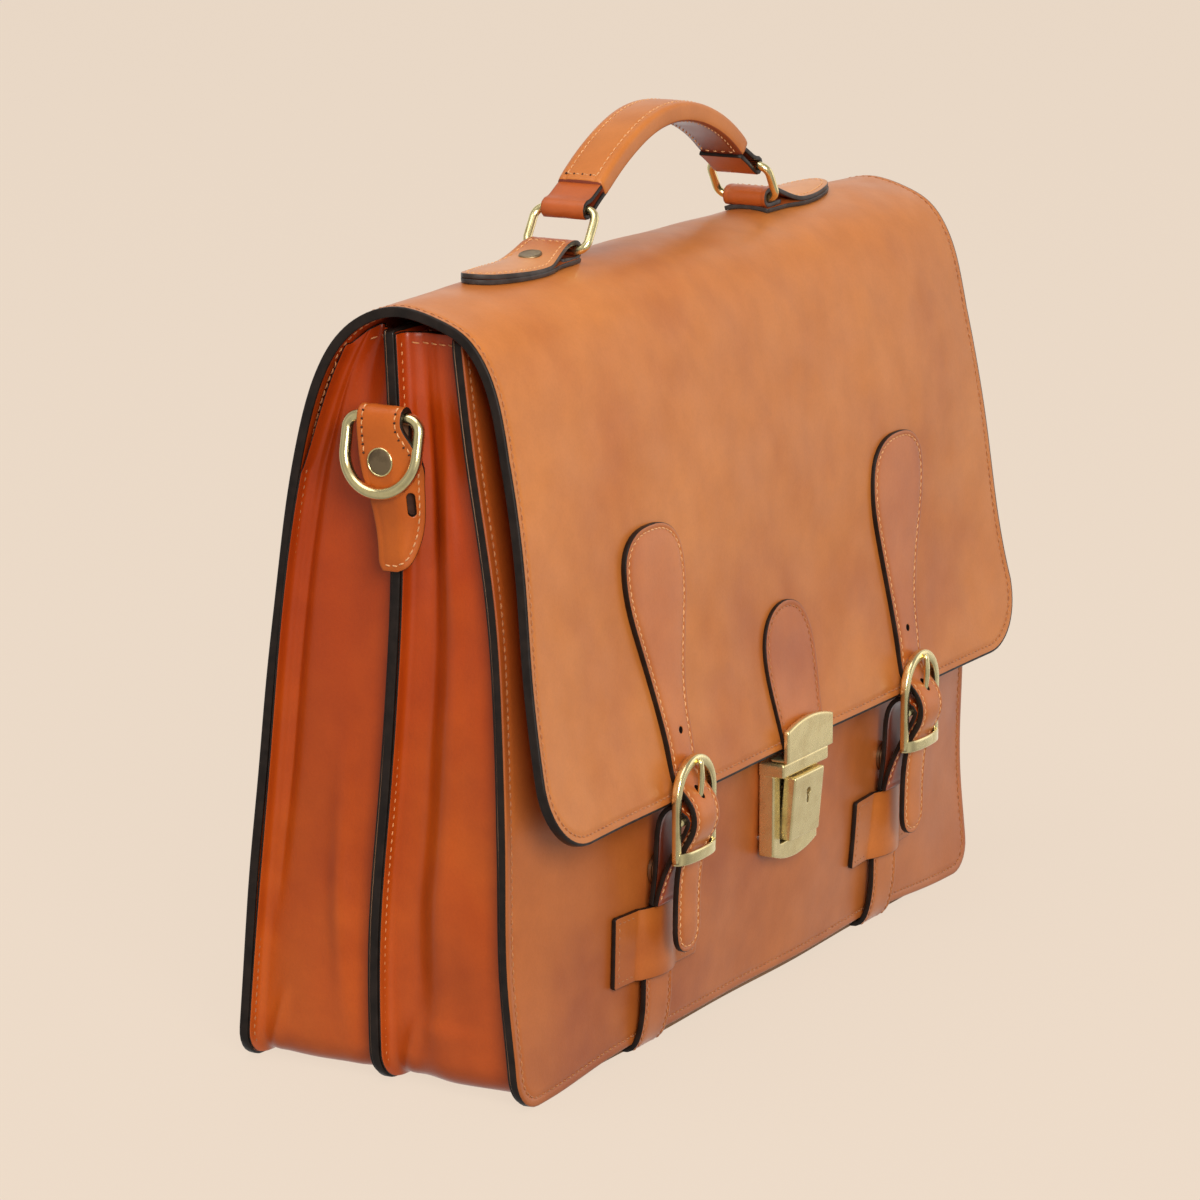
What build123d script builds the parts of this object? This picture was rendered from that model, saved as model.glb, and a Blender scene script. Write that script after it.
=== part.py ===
from build123d import *
import math
import os

os.makedirs("parts", exist_ok=True)

# A leather briefcase: two gusseted compartments, a flap that carries the handle,
# two racket straps with buckles, and a tuck lock.
# Millimetres. X runs along the case, -Y is the front, +Z is up.
# Section outlines are given as (forward, up), where forward is measured towards
# the front from the datum plane of the middle divider.

# ------------------------------------------------------------ driving dimensions
HALF = 195.0                # half the length of the panels
FLAP_HALF = 203.0           # half the length of the flap
DEPTH_MID = 9.5             # forward distance of the middle of the whole case
CORNER = 14.0               # lower corner radius of the panels
PANEL_SKIN = 4.6            # two leathers glued together
FLAP_SKIN = 4.0
GUSSET_SKIN = 2.2
GUSSET_INSET = 7.0          # the gusset lies this far inside the panel edges
GUSSET_BASE = 3.0           # underside of the gussets
GLUE = 0.1                  # glue line between leathers
STRAP_X = 101.0             # centre lines of the two buckle straps
STRAP_SKIN = 2.5
SIDES = {"left": -1, "right": 1}

SIDE = Plane(origin=(0, DEPTH_MID, 0), x_dir=(0, -1, 0), z_dir=(-1, 0, 0))
FACE = Plane.XZ.offset(-DEPTH_MID)

# back panel, outer face, from the floor to the hinge line
HINGE = (-18.0, 298.4)
BACK_LINE = [(-71.3, 0), (-66.6, 55), (-59.3, 122), (-52.2, 187), (-40.7, 250), (-29.0, 283), HINGE]
# flap, outer face, from the hinge line over the top and down the front
FLAP_LINE = [
    (-17.7, 298.7), (-8, 305.6), (8, 310.2), (27.6, 307), (38.7, 302), (49.7, 289),
    (57.1, 267.4), (61.6, 245), (65.6, 215), (69.4, 169.5), (73.4, 139), (80, 105),
]
# divider, middle line, from the floor to its top
DIVIDER_LINE = [(-5.9, 0), (-6, 63), (-1.5, 112), (2.8, 160), (5.2, 199), (4.4, 276), (3.2, 299)]
# front panel: height, forward distance at its two ends, bow of its middle
FRONT_LEVELS = [
    (0, 60.5, 0.5), (16, 58.4, 5), (48, 55.2, 12.5), (95, 54.5, 15), (150, 53.0, 13.5),
    (204, 49.1, 9), (249, 41.4, 5), (294, 34.6, 2),
]
BOW_POWER = 2.2

# handle hardware, as (x, up)
RING_WIRE = 1.75
RING_LOW = (81.4, 314.6)    # centre of the ring's lower bar, held by the anchor
RING_HIGH = (72.0, 329.5)   # centre of the ring's upper bar, held by the handle
HANDLE_F = 10.0             # forward distance of the handle's middle plane
HANDLE_WIDTH = 21.0
RING_INSIDE = 24.0          # inside width of the handle rings
RING_BEND = 3.3             # corners of the handle rings, to the wire's centre
LOOP_HOLE = 2.1             # bore of a leather loop round a ring bar
LOOP_SKIN = 1.95
HANDLE_LINE = [(-66, 337), (-50, 347.5), (-33, 356.0), (-16, 361.6), (0, 363.5),
               (16, 361.6), (33, 356.0), (50, 347.5), (66, 337)]

# D-rings at the two ends
TAB_F = 3.6                 # forward distance of the tab's middle
TAB_WIDTH = 19.4
D_WIRE = 2.3
D_BEND = 5.0                # corners beside the D-ring's bar, to the wire's centre
D_BAR = (199.2, 266.4)      # bar centre as (distance from the middle, up)
D_HALF = 15.8               # wire centre line, half the ring's width
D_LOW = 237.9               # wire centre line, lowest point
D_LEAN = 12.0               # degrees that the ring leans outwards on its tab

# buckles
BAR_F = 83.7
BAR_Z = 98.0
BAR_R = 1.8
FRAME_HALF = 16.5
FRAME_BACK = 82.2
FRAME_THICK = 3.2
ARCH_Z = 107.0              # centre of the frame's round top
KEEPER_LOW = 81.4
KEEPER_HIGH = 86.2

# lock
LOCK_HALF = 20.0
LOCK_BACK = 69.8
CASE_FRONT = 76.7
CASE_LOW = 60.3
HOOD_LOW = 94.0
HOOD_HIGH = 99.8
HOOD_FRONT = 81.4
HASP_LOW = 100.4
PLATE_HALF = 13.0
PLATE_LOW = 65.6
PLATE_HIGH = 93.4
LOCK_SCREWS = [(-16.4, 67.0), (16.4, 67.0)]


# ------------------------------------------------------------------------ helpers
def parallel(points, distance):
    """Points of the smooth line through `points`, moved sideways to its left."""
    line = Edge.make_spline([Vector(a, b) for a, b in points])
    moved = []
    for a, b in points:
        spot = Vector(a, b)
        along = line.tangent_at(line.param_at_point(spot))
        moved.append((spot.X - along.Y * distance, spot.Y + along.X * distance))
    return moved


def ribbon(points, near, far):
    """Inside a sketch: the strip between two lines parallel to `points`."""
    with BuildLine() as outline:
        first = Spline(*parallel(points, near))
        second = Spline(*parallel(points, far))
        Line(first @ 0, second @ 0)
        Line(first @ 1, second @ 1)
    make_face(outline.edges())


def fillet_where(part, radius, axis=None):
    """Round every edge of a metal piece that will take the radius."""
    edges = part.edges() if axis is None else part.edges().filter_by(axis)
    try:
        return fillet(edges, radius)
    except Exception:
        return None


def y_at(forward):
    return DEPTH_MID - forward


def level_value(z, column):
    """Front panel figures between the stated levels."""
    for low, high in zip(FRONT_LEVELS, FRONT_LEVELS[1:]):
        if z <= high[0]:
            share = (z - low[0]) / (high[0] - low[0])
            return low[column] + share * (high[column] - low[column])
    return FRONT_LEVELS[-1][column]


def bow(x):
    return 1 - abs(x / HALF) ** BOW_POWER


def panel_front(x, z):
    """Forward distance of the front panel's outer face."""
    return level_value(z, 1) + level_value(z, 2) * bow(x)


def front_section(z, inward, depth):
    """Plan section of the front panel, `inward` behind its outer face."""
    stations = [-HALF, -150, -90, 0, 90, 150, HALF]
    with BuildSketch(Plane.XY.offset(z)) as section:
        with BuildLine():
            outer = Spline(*[(x, y_at(panel_front(x, z) - inward)) for x in stations])
            if depth is None:
                back = y_at(-100)
                Polyline(outer @ 0, (-HALF, back), (HALF, back), outer @ 1)
            else:
                inner = Spline(*[(x, y_at(panel_front(x, z) - inward - depth)) for x in stations])
                Line(outer @ 0, inner @ 0)
                Line(outer @ 1, inner @ 1)
        make_face()
    return section.sketch


def panel_outline(top, bottom_half, top_half):
    """Inside a sketch on a face plane: a panel with round lower corners."""
    with BuildLine() as outline:
        Line((bottom_half - CORNER, 0), (CORNER - bottom_half, 0))
        JernArc((CORNER - bottom_half, 0), (-1, 0), CORNER, -90)
        Polyline((-bottom_half, CORNER), (-top_half, top), (top_half, top), (bottom_half, CORNER))
        JernArc((bottom_half - CORNER, 0), (1, 0), CORNER, 90)
    make_face(outline.edges())


def wire_ring(start, towards, half, reach, near_bend, far_bend, wire):
    """A closed ring of round wire. Its near bar lies along Y with its middle at `start`."""
    ring_plane = Plane(origin=start, x_dir=(0, 1, 0), z_dir=Vector(0, 1, 0).cross(towards))
    with BuildPart() as ring:
        with BuildLine(ring_plane) as path:
            bar = Line((0, 0), (half - near_bend, 0))
            corner = JernArc(bar @ 1, bar % 1, near_bend, 90)
            arm = Line(corner @ 1, corner @ 1 + towards.normalized() * (reach - near_bend - far_bend))
            end = JernArc(arm @ 1, arm % 1, far_bend, 90)
            if half > far_bend:
                far_bar = Line(end @ 1, end @ 1 + (end % 1) * 2 * (half - far_bend))
                end = far_bar
            turn = JernArc(end @ 1, end % 1, far_bend, 90)
            back = Line(turn @ 1, turn @ 1 - towards.normalized() * (reach - near_bend - far_bend))
            last = JernArc(back @ 1, back % 1, near_bend, 90)
            Line(last @ 1, bar @ 0)
        with BuildSketch(Plane(origin=path.line @ 0, z_dir=path.line % 0)):
            Circle(wire)
        sweep()
    return ring.part


# ------------------------------------------------------------------- the panels
with BuildPart() as back_panel:
    with BuildSketch(SIDE):
        ribbon(BACK_LINE, 0, -PANEL_SKIN)
    extrude(amount=FLAP_HALF, both=True)
    with BuildSketch(FACE.offset(-90)):
        panel_outline(301, HALF, FLAP_HALF)
    extrude(amount=100, mode=Mode.INTERSECT)

with BuildPart() as middle_divider:
    with BuildSketch(SIDE):
        ribbon(DIVIDER_LINE, -2.5, 2.5)
    extrude(amount=HALF, both=True)
    with BuildSketch(FACE.offset(-30)):
        panel_outline(300, HALF, HALF)
    extrude(amount=60, mode=Mode.INTERSECT)

with BuildPart() as front_panel:
    loft([front_section(z, 0, PANEL_SKIN) for z, _, _ in FRONT_LEVELS])
    with BuildSketch(FACE):
        panel_outline(294, HALF, HALF)
    extrude(amount=100, mode=Mode.INTERSECT)
    # the bottom edge is drawn up a little between the two corners
    with BuildSketch(FACE):
        with BuildLine():
            lifted = Spline((-165, 0), (-124, 3.6), (0, 4.0), (124, 3.6), (165, 0))
            Line(lifted @ 1, lifted @ 0)
        make_face()
        with Locations(*LOCK_SCREWS):
            Circle(1.25)
    extrude(amount=100, mode=Mode.SUBTRACT)


# ------------------------------------------------------------------ the gussets
def gusset_outline(top):
    half = HALF - GUSSET_INSET
    for inset, mode in ((0, Mode.ADD), (GUSSET_SKIN, Mode.SUBTRACT)):
        low = GUSSET_BASE + inset
        high = top + 60
        with Locations((0, (low + high) / 2)):
            RectangleRounded(2 * (half - inset), high - low, CORNER - 3 - inset, mode=mode)
    with Locations((0, top + 60)):
        Rectangle(2 * HALF, 120, mode=Mode.SUBTRACT)


with BuildPart() as rear_gusset:
    with BuildSketch(FACE.offset(-80)):
        gusset_outline(294)
    extrude(amount=100)
    with BuildSketch(SIDE):
        with BuildLine():
            rear = Spline(*parallel(BACK_LINE, -PANEL_SKIN - GLUE))
            fore = Spline(*parallel(DIVIDER_LINE, 2.5 + GLUE))
            Line(rear @ 0, fore @ 0)
            Line(rear @ 1, fore @ 1)
        make_face()
    extrude(amount=HALF, both=True, mode=Mode.INTERSECT)

with BuildPart() as front_gusset:
    with BuildSketch(FACE.offset(-20)):
        gusset_outline(290)
    extrude(amount=100)
    with BuildSketch(SIDE):
        with BuildLine():
            rear = Spline(*parallel(DIVIDER_LINE, -2.5 - GLUE))
            Polyline(rear @ 1, (90, 299), (90, 0), rear @ 0)
        make_face()
    extrude(amount=HALF, both=True, mode=Mode.INTERSECT)
    loft(
        [front_section(z, PANEL_SKIN + GLUE, None) for z, _, _ in FRONT_LEVELS],
        mode=Mode.INTERSECT,
    )


# --------------------------------------------------------------------- the flap
ANCHOR_RIVET_X = 101.0
HASP_RIVET_X = 12.0
HASP_RIVET_Z = 109.5

with BuildPart() as flap:
    with BuildSketch(SIDE):
        ribbon(FLAP_LINE, 0, -FLAP_SKIN)
    extrude(amount=FLAP_HALF, both=True)
    with BuildSketch(FACE.offset(-30)):
        with Locations((0, 104 + 150)):
            RectangleRounded(2 * FLAP_HALF, 300, 28)
    extrude(amount=130, mode=Mode.INTERSECT)
    with BuildSketch(Plane.XY.offset(295)):
        with Locations((-ANCHOR_RIVET_X, y_at(HANDLE_F)), (ANCHOR_RIVET_X, y_at(HANDLE_F))):
            Circle(1.85)
    extrude(amount=20, mode=Mode.SUBTRACT)
    with BuildSketch(FACE.offset(60)):
        with Locations((-HASP_RIVET_X, HASP_RIVET_Z), (HASP_RIVET_X, HASP_RIVET_Z)):
            Circle(1.6)
    extrude(amount=30, mode=Mode.SUBTRACT)

# a board under the top of the flap spreads the pull of the handle
with BuildPart() as handle_board:
    with BuildSketch(SIDE):
        ribbon(FLAP_LINE, -FLAP_SKIN - GLUE, -FLAP_SKIN - GLUE - 1.6)
        with Locations((HANDLE_F, 305)):
            Rectangle(20, 30, mode=Mode.INTERSECT)
    extrude(amount=165, both=True)
    with BuildSketch(Plane.XY.offset(295)):
        with Locations((-ANCHOR_RIVET_X, y_at(HANDLE_F)), (ANCHOR_RIVET_X, y_at(HANDLE_F))):
            Circle(1.85)
    extrude(amount=20, mode=Mode.SUBTRACT)


# ------------------------------------------------------------- the racket straps
# middle of the strap's thickness from the flap, through the buckle, to its tail
STRAP_LINE = [
    (67.2, 215), (70.8, 169.5), (74.8, 139), (77.6, 124), (80.4, 113), (84.2, 108.5), (87.6, 104.2),
    (88.9, 99.5), (87.8, 93), (84.2, 86.5), (82.4, 81), (81.2, 73), (80.6, 60), (80.6, 42),
]
STRAP_NECK = 9.6
RACKET = 23.4
SLOT_HALF = 2.3             # half width of the slots that the prong passes


def racket_outline(x):
    with BuildLine() as outline:
        neck = Spline((x - RACKET, 196), (x - 19, 172), (x - 11.2, 141), (x - STRAP_NECK, 118),
                      tangents=[(0, -1), (0, -1)])
        Line(neck @ 1, (x - STRAP_NECK, 52))
        ThreePointArc((x - STRAP_NECK, 52), (x, 42.6), (x + STRAP_NECK, 52))
        other = Spline((x + STRAP_NECK, 118), (x + 11.2, 141), (x + 19, 172), (x + RACKET, 196),
                       tangents=[(0, 1), (0, 1)])
        Line((x + STRAP_NECK, 52), other @ 0)
        Spline(other @ 1, (x + 14, 211.5), (x, 215), (x - 14, 211.5), neck @ 0,
               tangents=[(0, 1), (0, -1)])
    make_face(outline.edges())


def racket_strap(name):
    x = STRAP_X * SIDES[name]
    with BuildPart() as strap:
        with BuildSketch(SIDE):
            ribbon(STRAP_LINE, -STRAP_SKIN / 2, STRAP_SKIN / 2)
        extrude(amount=FLAP_HALF, both=True)
        with BuildSketch(FACE.offset(50)):
            racket_outline(x)
        extrude(amount=60, mode=Mode.INTERSECT)
        with BuildSketch(FACE.offset(50)):
            with Locations((x, 106.5)):
                SlotOverall(15, 2 * SLOT_HALF, rotation=90)
            with Locations((x, 132)):
                Circle(1.5)
        extrude(amount=60, mode=Mode.SUBTRACT)
    return strap.part


# ------------------------------------------------------------------- the buckles
def buckle_frame(name):
    x = STRAP_X * SIDES[name]
    low = KEEPER_LOW
    with BuildPart() as frame:
        with BuildSketch(FACE.offset(FRAME_BACK)):
            with Locations((x, ARCH_Z)):
                Circle(FRAME_HALF)
            with Locations((x, (low + ARCH_Z) / 2)):
                Rectangle(2 * FRAME_HALF - 1.2, ARCH_Z - low)
            with Locations((x, ARCH_Z + 0.4)):
                Circle(FRAME_HALF - 4.2, mode=Mode.SUBTRACT)
            with Locations((x, (low + ARCH_Z) / 2)):
                Rectangle(2 * FRAME_HALF - 7.6, ARCH_Z - low, mode=Mode.SUBTRACT)
        extrude(amount=FRAME_THICK)
        fillet_where(frame, 0.9)
        # the keeper is a flat band that bulges forwards over the strap
        with BuildSketch(Plane.XY.offset(low)):
            with BuildLine():
                reach = FRAME_HALF - 0.7
                base = y_at(FRAME_BACK + 0.5)
                inner = Spline((x - reach + 1.5, base), (x - 12.8, y_at(84.7)), (x - 8, y_at(86.1)),
                               (x, y_at(86.5)), (x + 8, y_at(86.1)), (x + 12.8, y_at(84.7)),
                               (x + reach - 1.5, base))
                outer = Spline((x - reach, base), (x - 14.6, y_at(85.7)), (x - 9, y_at(87.5)),
                               (x, y_at(88.1)), (x + 9, y_at(87.5)), (x + 14.6, y_at(85.7)),
                               (x + reach, base))
                Line(inner @ 0, outer @ 0)
                Line(inner @ 1, outer @ 1)
            make_face()
        extrude(amount=KEEPER_HIGH - low)
        # bar
        with BuildSketch(Plane.YZ.offset(x - FRAME_HALF + 2)):
            with Locations((y_at(BAR_F), BAR_Z)):
                Circle(BAR_R)
        extrude(amount=2 * FRAME_HALF - 4)
    return frame.part


def buckle_prong(name):
    x = STRAP_X * SIDES[name]
    with BuildPart() as prong:
        with BuildSketch(Plane(origin=(x - 1.6, DEPTH_MID, 0), x_dir=(0, -1, 0), z_dir=(-1, 0, 0))):
            with Locations((BAR_F, BAR_Z)):
                Circle(3.05)
            with BuildLine():
                Polyline((BAR_F, BAR_Z + 3.0), (BAR_F + 0.3, BAR_Z + 10), (85.75, 113.5), (85.75, 121.4),
                         (87.3, 121.4), (88.3, 117), (88.2, 112), (BAR_F + 3.0, BAR_Z + 0.4), close=True)
            make_face()
            with Locations((BAR_F, BAR_Z)):
                Circle(BAR_R + 0.06, mode=Mode.SUBTRACT)
        extrude(amount=-3.2)
        fillet_where(prong, 0.5, Axis.X)
    return prong.part


# middle of the loop's thickness, from the patch up behind, over the bar and back down
BUCKLE_LOOP_SKIN = 2.0
LOOP_BACK = [(69.7, 61.9), (71.0, 72), (71.9, 84), (72.6, 94), (75.2, 100.6), (79.4, 103.6),
             (83.8, 101.2)]
LOOP_FRONT = [(86.4, 96.8), (83.6, 91.4), (79.4, 83.6), (75.6, 75), (73.2, 68), (71.8, 61.9)]


def buckle_loop(name):
    x = STRAP_X * SIDES[name]
    with BuildPart() as loop:
        with BuildSketch(SIDE):
            ribbon(LOOP_BACK, -BUCKLE_LOOP_SKIN / 2, BUCKLE_LOOP_SKIN / 2)
            ribbon(LOOP_FRONT, -BUCKLE_LOOP_SKIN / 2, BUCKLE_LOOP_SKIN / 2)
            with Locations((BAR_F, BAR_Z)):
                Circle(BAR_R + 2.05)
                Circle(BAR_R + 0.05, mode=Mode.SUBTRACT)
        extrude(amount=FLAP_HALF, both=True)
        with BuildSketch(FACE.offset(50)):
            with Locations((x, 85)):
                Rectangle(19.4, 60)
        extrude(amount=60, mode=Mode.INTERSECT)
        with BuildSketch(FACE.offset(BAR_F - 5)):
            with Locations((x, 98.5)):
                Rectangle(4.2, 15)
        extrude(amount=30, mode=Mode.SUBTRACT)
    return loop.part


# ------------------------------------------------- patches and lower strap ends
PATCH_HALF = 31.0
PATCH_LOW = 32.0
PATCH_HIGH = 61.4
PATCH_SKIN = 2.0
LOWER_HALF = 11.0
LOWER_SKIN = 2.4
LOWER_FRONT = 69.4          # front of the strap under the patch
LOWER_LINE = [(LOWER_FRONT - 1.2, 60.8), (68.0, 46), (67.2, 32), (66.9, 20), (65.4, 10), (63.3, 4.4),
              (60.8, 1.9), (56, 1.45), (48, 1.45), (40, 1.45), (28, 1.45), (16, 1.45), (4, 1.45)]


def lower_strap(name):
    x = STRAP_X * SIDES[name]
    with BuildPart() as strap:
        with BuildSketch(SIDE):
            ribbon(LOWER_LINE, -LOWER_SKIN / 2, LOWER_SKIN / 2)
        extrude(amount=HALF, both=True)
        with BuildSketch(FACE.offset(-20)):
            with Locations((x, 40)):
                Rectangle(2 * LOWER_HALF, 100)
        extrude(amount=120, mode=Mode.INTERSECT)
    return strap.part


def strap_patch(name):
    s = SIDES[name]
    x = STRAP_X * s

    def on_panel(offset, lift):
        spot = x + offset
        return (spot, y_at(panel_front(spot, PATCH_HIGH) + 0.6 + lift))

    def raised(offset, lift):
        return (x + offset, y_at(LOWER_FRONT + 0.1 + lift))

    under = [on_panel(-PATCH_HALF, 0), on_panel(-15, 0), raised(-LOWER_HALF - 0.4, 0),
             raised(LOWER_HALF + 0.4, 0), on_panel(15, 0), on_panel(PATCH_HALF, 0)]
    over = [on_panel(-PATCH_HALF, PATCH_SKIN), on_panel(-15.6, PATCH_SKIN), raised(-LOWER_HALF - 1.0, PATCH_SKIN),
            raised(LOWER_HALF + 1.0, PATCH_SKIN), on_panel(15.6, PATCH_SKIN), on_panel(PATCH_HALF, PATCH_SKIN)]
    with BuildPart() as patch:
        with BuildSketch(Plane.XY.offset(PATCH_LOW)):
            with BuildLine():
                Polyline(*under, *reversed(over), close=True)
            make_face()
        extrude(amount=PATCH_HIGH - PATCH_LOW)
    return patch.part


# magnets hold the buckle loops down on the front panel
MAGNET_R = 6.5
MAGNET_Z = 74.5


def magnets(back, thickness):
    with BuildPart() as group:
        with BuildSketch(FACE.offset(back)):
            with Locations((-STRAP_X, MAGNET_Z), (STRAP_X, MAGNET_Z)):
                Circle(MAGNET_R)
        extrude(amount=thickness)
    return group


loop_magnets = magnets(68.4, 0.9)
panel_magnets = magnets(66.6, 1.4)


# ---------------------------------------------------------------------- the lock
def lock_shield(half, low, high, dip, rise):
    """Inside a sketch: a plate with a bulging lower and upper edge."""
    with BuildLine() as outline:
        if dip:
            ThreePointArc((-half, low), (0, low - dip), (half, low))
        else:
            Line((-half, low), (half, low))
        if rise:
            ThreePointArc((-half, high), (0, high + rise), (half, high))
        else:
            Line((-half, high), (half, high))
        Line((-half, low), (-half, high))
        Line((half, low), (half, high))
    make_face(outline.edges())


TONGUE_SKIN = 1.6
TONGUE_HALF = 21.5

with BuildPart() as lock_tongue:
    with BuildSketch(SIDE):
        ribbon(FLAP_LINE[-4:], GLUE, GLUE + TONGUE_SKIN)
    extrude(amount=30, both=True)
    with BuildSketch(FACE.offset(50)):
        with BuildLine():
            Polyline((-17.5, 105), (-19.2, 120), (-TONGUE_HALF, 142))
            ThreePointArc((-TONGUE_HALF, 142), (0, 163.5), (TONGUE_HALF, 142))
            Polyline((TONGUE_HALF, 142), (19.2, 120), (17.5, 105), (-17.5, 105))
        make_face()
    extrude(amount=60, mode=Mode.INTERSECT)
    with BuildSketch(FACE.offset(60)):
        with Locations((-HASP_RIVET_X, HASP_RIVET_Z), (HASP_RIVET_X, HASP_RIVET_Z)):
            Circle(1.6)
    extrude(amount=40, mode=Mode.SUBTRACT)

HASP_BACK = 81.8

with BuildPart() as hasp_plate:
    with BuildSketch(FACE.offset(HASP_BACK)):
        lock_shield(LOCK_HALF, HASP_LOW, 113.8, 0, 3.2)
    extrude(amount=1.7)
    chamfer(hasp_plate.faces().sort_by(Axis.Y)[0].edges(), 0.5)
    # the lower flange reaches back under the flap and has a hole for the bolt
    with BuildSketch(Plane.XY.offset(HASP_LOW)):
        with Locations((0, y_at((74.9 + HASP_BACK + 1) / 2))):
            Rectangle(2 * LOCK_HALF - 2, HASP_BACK + 1 - 74.9)
        with Locations((0, y_at(78.2))):
            Rectangle(8.6, 3.2, mode=Mode.SUBTRACT)
    extrude(amount=1.1)

with BuildPart() as hasp_rivets:
    with BuildSketch(FACE.offset(71.0)):
        with Locations((-HASP_RIVET_X, HASP_RIVET_Z), (HASP_RIVET_X, HASP_RIVET_Z)):
            Circle(1.5)
    extrude(amount=HASP_BACK - 71.0)
    with BuildSketch(FACE.offset(71.0)):
        with Locations((-HASP_RIVET_X, HASP_RIVET_Z), (HASP_RIVET_X, HASP_RIVET_Z)):
            Circle(3.2)
    extrude(amount=0.9)

with BuildPart() as lock_case:
    with BuildSketch(FACE.offset(LOCK_BACK)):
        lock_shield(LOCK_HALF - 0.4, CASE_LOW, HOOD_LOW + 1, 3.8, 0)
    extrude(amount=CASE_FRONT - LOCK_BACK)
    chamfer(lock_case.faces().sort_by(Axis.Y)[0].edges(), 0.7)
    with BuildSketch(FACE.offset(LOCK_BACK + 1.2)):
        with Locations((0, (PLATE_LOW - 0.4 + HOOD_LOW) / 2)):
            Rectangle(2 * (PLATE_HALF + 0.3), HOOD_LOW - PLATE_LOW + 0.4)
    extrude(amount=20, mode=Mode.SUBTRACT)
    # hood bar over the push plate, with a slot for the bolt
    with BuildSketch(FACE.offset(LOCK_BACK)):
        with Locations((0, (HOOD_LOW + HOOD_HIGH) / 2)):
            RectangleRounded(2 * LOCK_HALF, HOOD_HIGH - HOOD_LOW, 0.9)
    extrude(amount=HOOD_FRONT - LOCK_BACK)
    with BuildSketch(Plane.XY.offset(HOOD_LOW - 1)):
        with Locations((0, y_at(78.2))):
            Rectangle(8.0, 2.6)
    extrude(amount=12, mode=Mode.SUBTRACT)
    with BuildSketch(FACE.offset(LOCK_BACK - 1)):
        with Locations(*LOCK_SCREWS):
            Circle(1.25)
    extrude(amount=5, mode=Mode.SUBTRACT)

KEY_Z = 84.6

with BuildPart() as push_plate:
    with BuildSketch(SIDE):
        with BuildLine():
            Polyline((75.2, PLATE_LOW), (80.9, PLATE_LOW), (83.4, PLATE_HIGH), (75.2, PLATE_HIGH), close=True)
        make_face()
    extrude(amount=PLATE_HALF, both=True)
    chamfer(push_plate.faces().sort_by(Axis.Y)[0].edges(), 0.6)
    with BuildSketch(FACE.offset(60)):
        with Locations((0, KEY_Z)):
            Circle(1.75)
        with Locations((0, KEY_Z - 3)):
            Rectangle(1.9, 6)
    extrude(amount=40, mode=Mode.SUBTRACT)
    # room behind the plate for the bolt and its cam
    with BuildSketch(FACE.offset(60)):
        with Locations((0, 88.9)):
            Rectangle(9.2, 10.4)
    extrude(amount=21.4, mode=Mode.SUBTRACT)

# key barrel: a post with a cam; the key turns it and its lobe lifts the bolt
CAM_BACK = LOCK_BACK + 1.4
CAM_REACH = 3.8             # from the barrel's axis to the middle of the lobe's round end

with BuildPart() as key_barrel:
    with BuildSketch(FACE.offset(CAM_BACK)):
        with Locations((0, KEY_Z)):
            Circle(2.6)
        with Locations((CAM_REACH / 2, KEY_Z)):
            Rectangle(CAM_REACH, 2.4)
        with Locations((CAM_REACH, KEY_Z)):
            Circle(1.2)
    extrude(amount=2.2)
    with BuildSketch(FACE.offset(CAM_BACK)):
        with Locations((0, KEY_Z)):
            Circle(1.1)
    extrude(amount=9.8)

# bolt: a flat tongue in the hood's slot with a foot that rests over the cam
BOLT_FOOT = KEY_Z + 3.05

with BuildPart() as lock_bolt:
    with BuildSketch(FACE.offset(77.2)):
        with Locations((0, (BOLT_FOOT + 100) / 2)):
            Rectangle(7.2, 100 - BOLT_FOOT)
    extrude(amount=2.0)
    with BuildSketch(FACE.offset(CAM_BACK + 0.1)):
        with Locations((0, BOLT_FOOT + 0.7)):
            Rectangle(7.2, 1.4)
    extrude(amount=77.3 - CAM_BACK)

# leaf spring on the back of the push plate
with BuildPart() as plate_spring:
    with BuildSketch(SIDE):
        with BuildLine():
            Polyline((75.15, 67.5), (75.15, 68.0), (72.9, 77.4), (72.7, 77.2), (74.6, 67.5), close=True)
        make_face()
    extrude(amount=4.0, both=True)

with BuildPart() as lock_backplate:
    with BuildSketch(FACE.offset(61.8)):
        with Locations((0, 78)):
            RectangleRounded(46, 44, 4)
        with Locations(*LOCK_SCREWS):
            Circle(1.25, mode=Mode.SUBTRACT)
    extrude(amount=1.2)

with BuildPart() as lock_screws:
    with BuildSketch(FACE.offset(60.4)):
        with Locations(*LOCK_SCREWS):
            Circle(1.2)
    extrude(amount=LOCK_BACK + 3.9 - 60.4)
    with BuildSketch(FACE.offset(60.2)):
        with Locations(*LOCK_SCREWS):
            Circle(2.6)
    extrude(amount=1.6)


# -------------------------------------------------------------------- the handle
HANDLE_PLANE = Plane.XZ.offset(HANDLE_F - DEPTH_MID)
HANDLE_SKIN = 2.2
HANDLE_CORE = 3.8
HANDLE_LINING = 1.8


with BuildPart() as handle_strap:
    with BuildSketch(HANDLE_PLANE):
        ribbon(HANDLE_LINE, 0, -HANDLE_SKIN)
        for s in (-1, 1):
            with Locations((s * RING_HIGH[0], RING_HIGH[1])):
                Circle(LOOP_HOLE + LOOP_SKIN)
            with BuildLine():
                Polyline((s * 63.8, 338.3), (s * (RING_HIGH[0] + 0.6), RING_HIGH[1] + 4.0),
                         (s * (RING_HIGH[0] - 1.5), RING_HIGH[1] - 3.7), (s * 60.6, 331.4),
                         (s * 62.0, 337.0), close=True)
            make_face()
        with Locations((-RING_HIGH[0], RING_HIGH[1]), (RING_HIGH[0], RING_HIGH[1])):
            Circle(LOOP_HOLE, mode=Mode.SUBTRACT)
    extrude(amount=HANDLE_WIDTH / 2, both=True)

CORE_HALF = 58.0            # the core and lining end this far from the handle's middle

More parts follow.
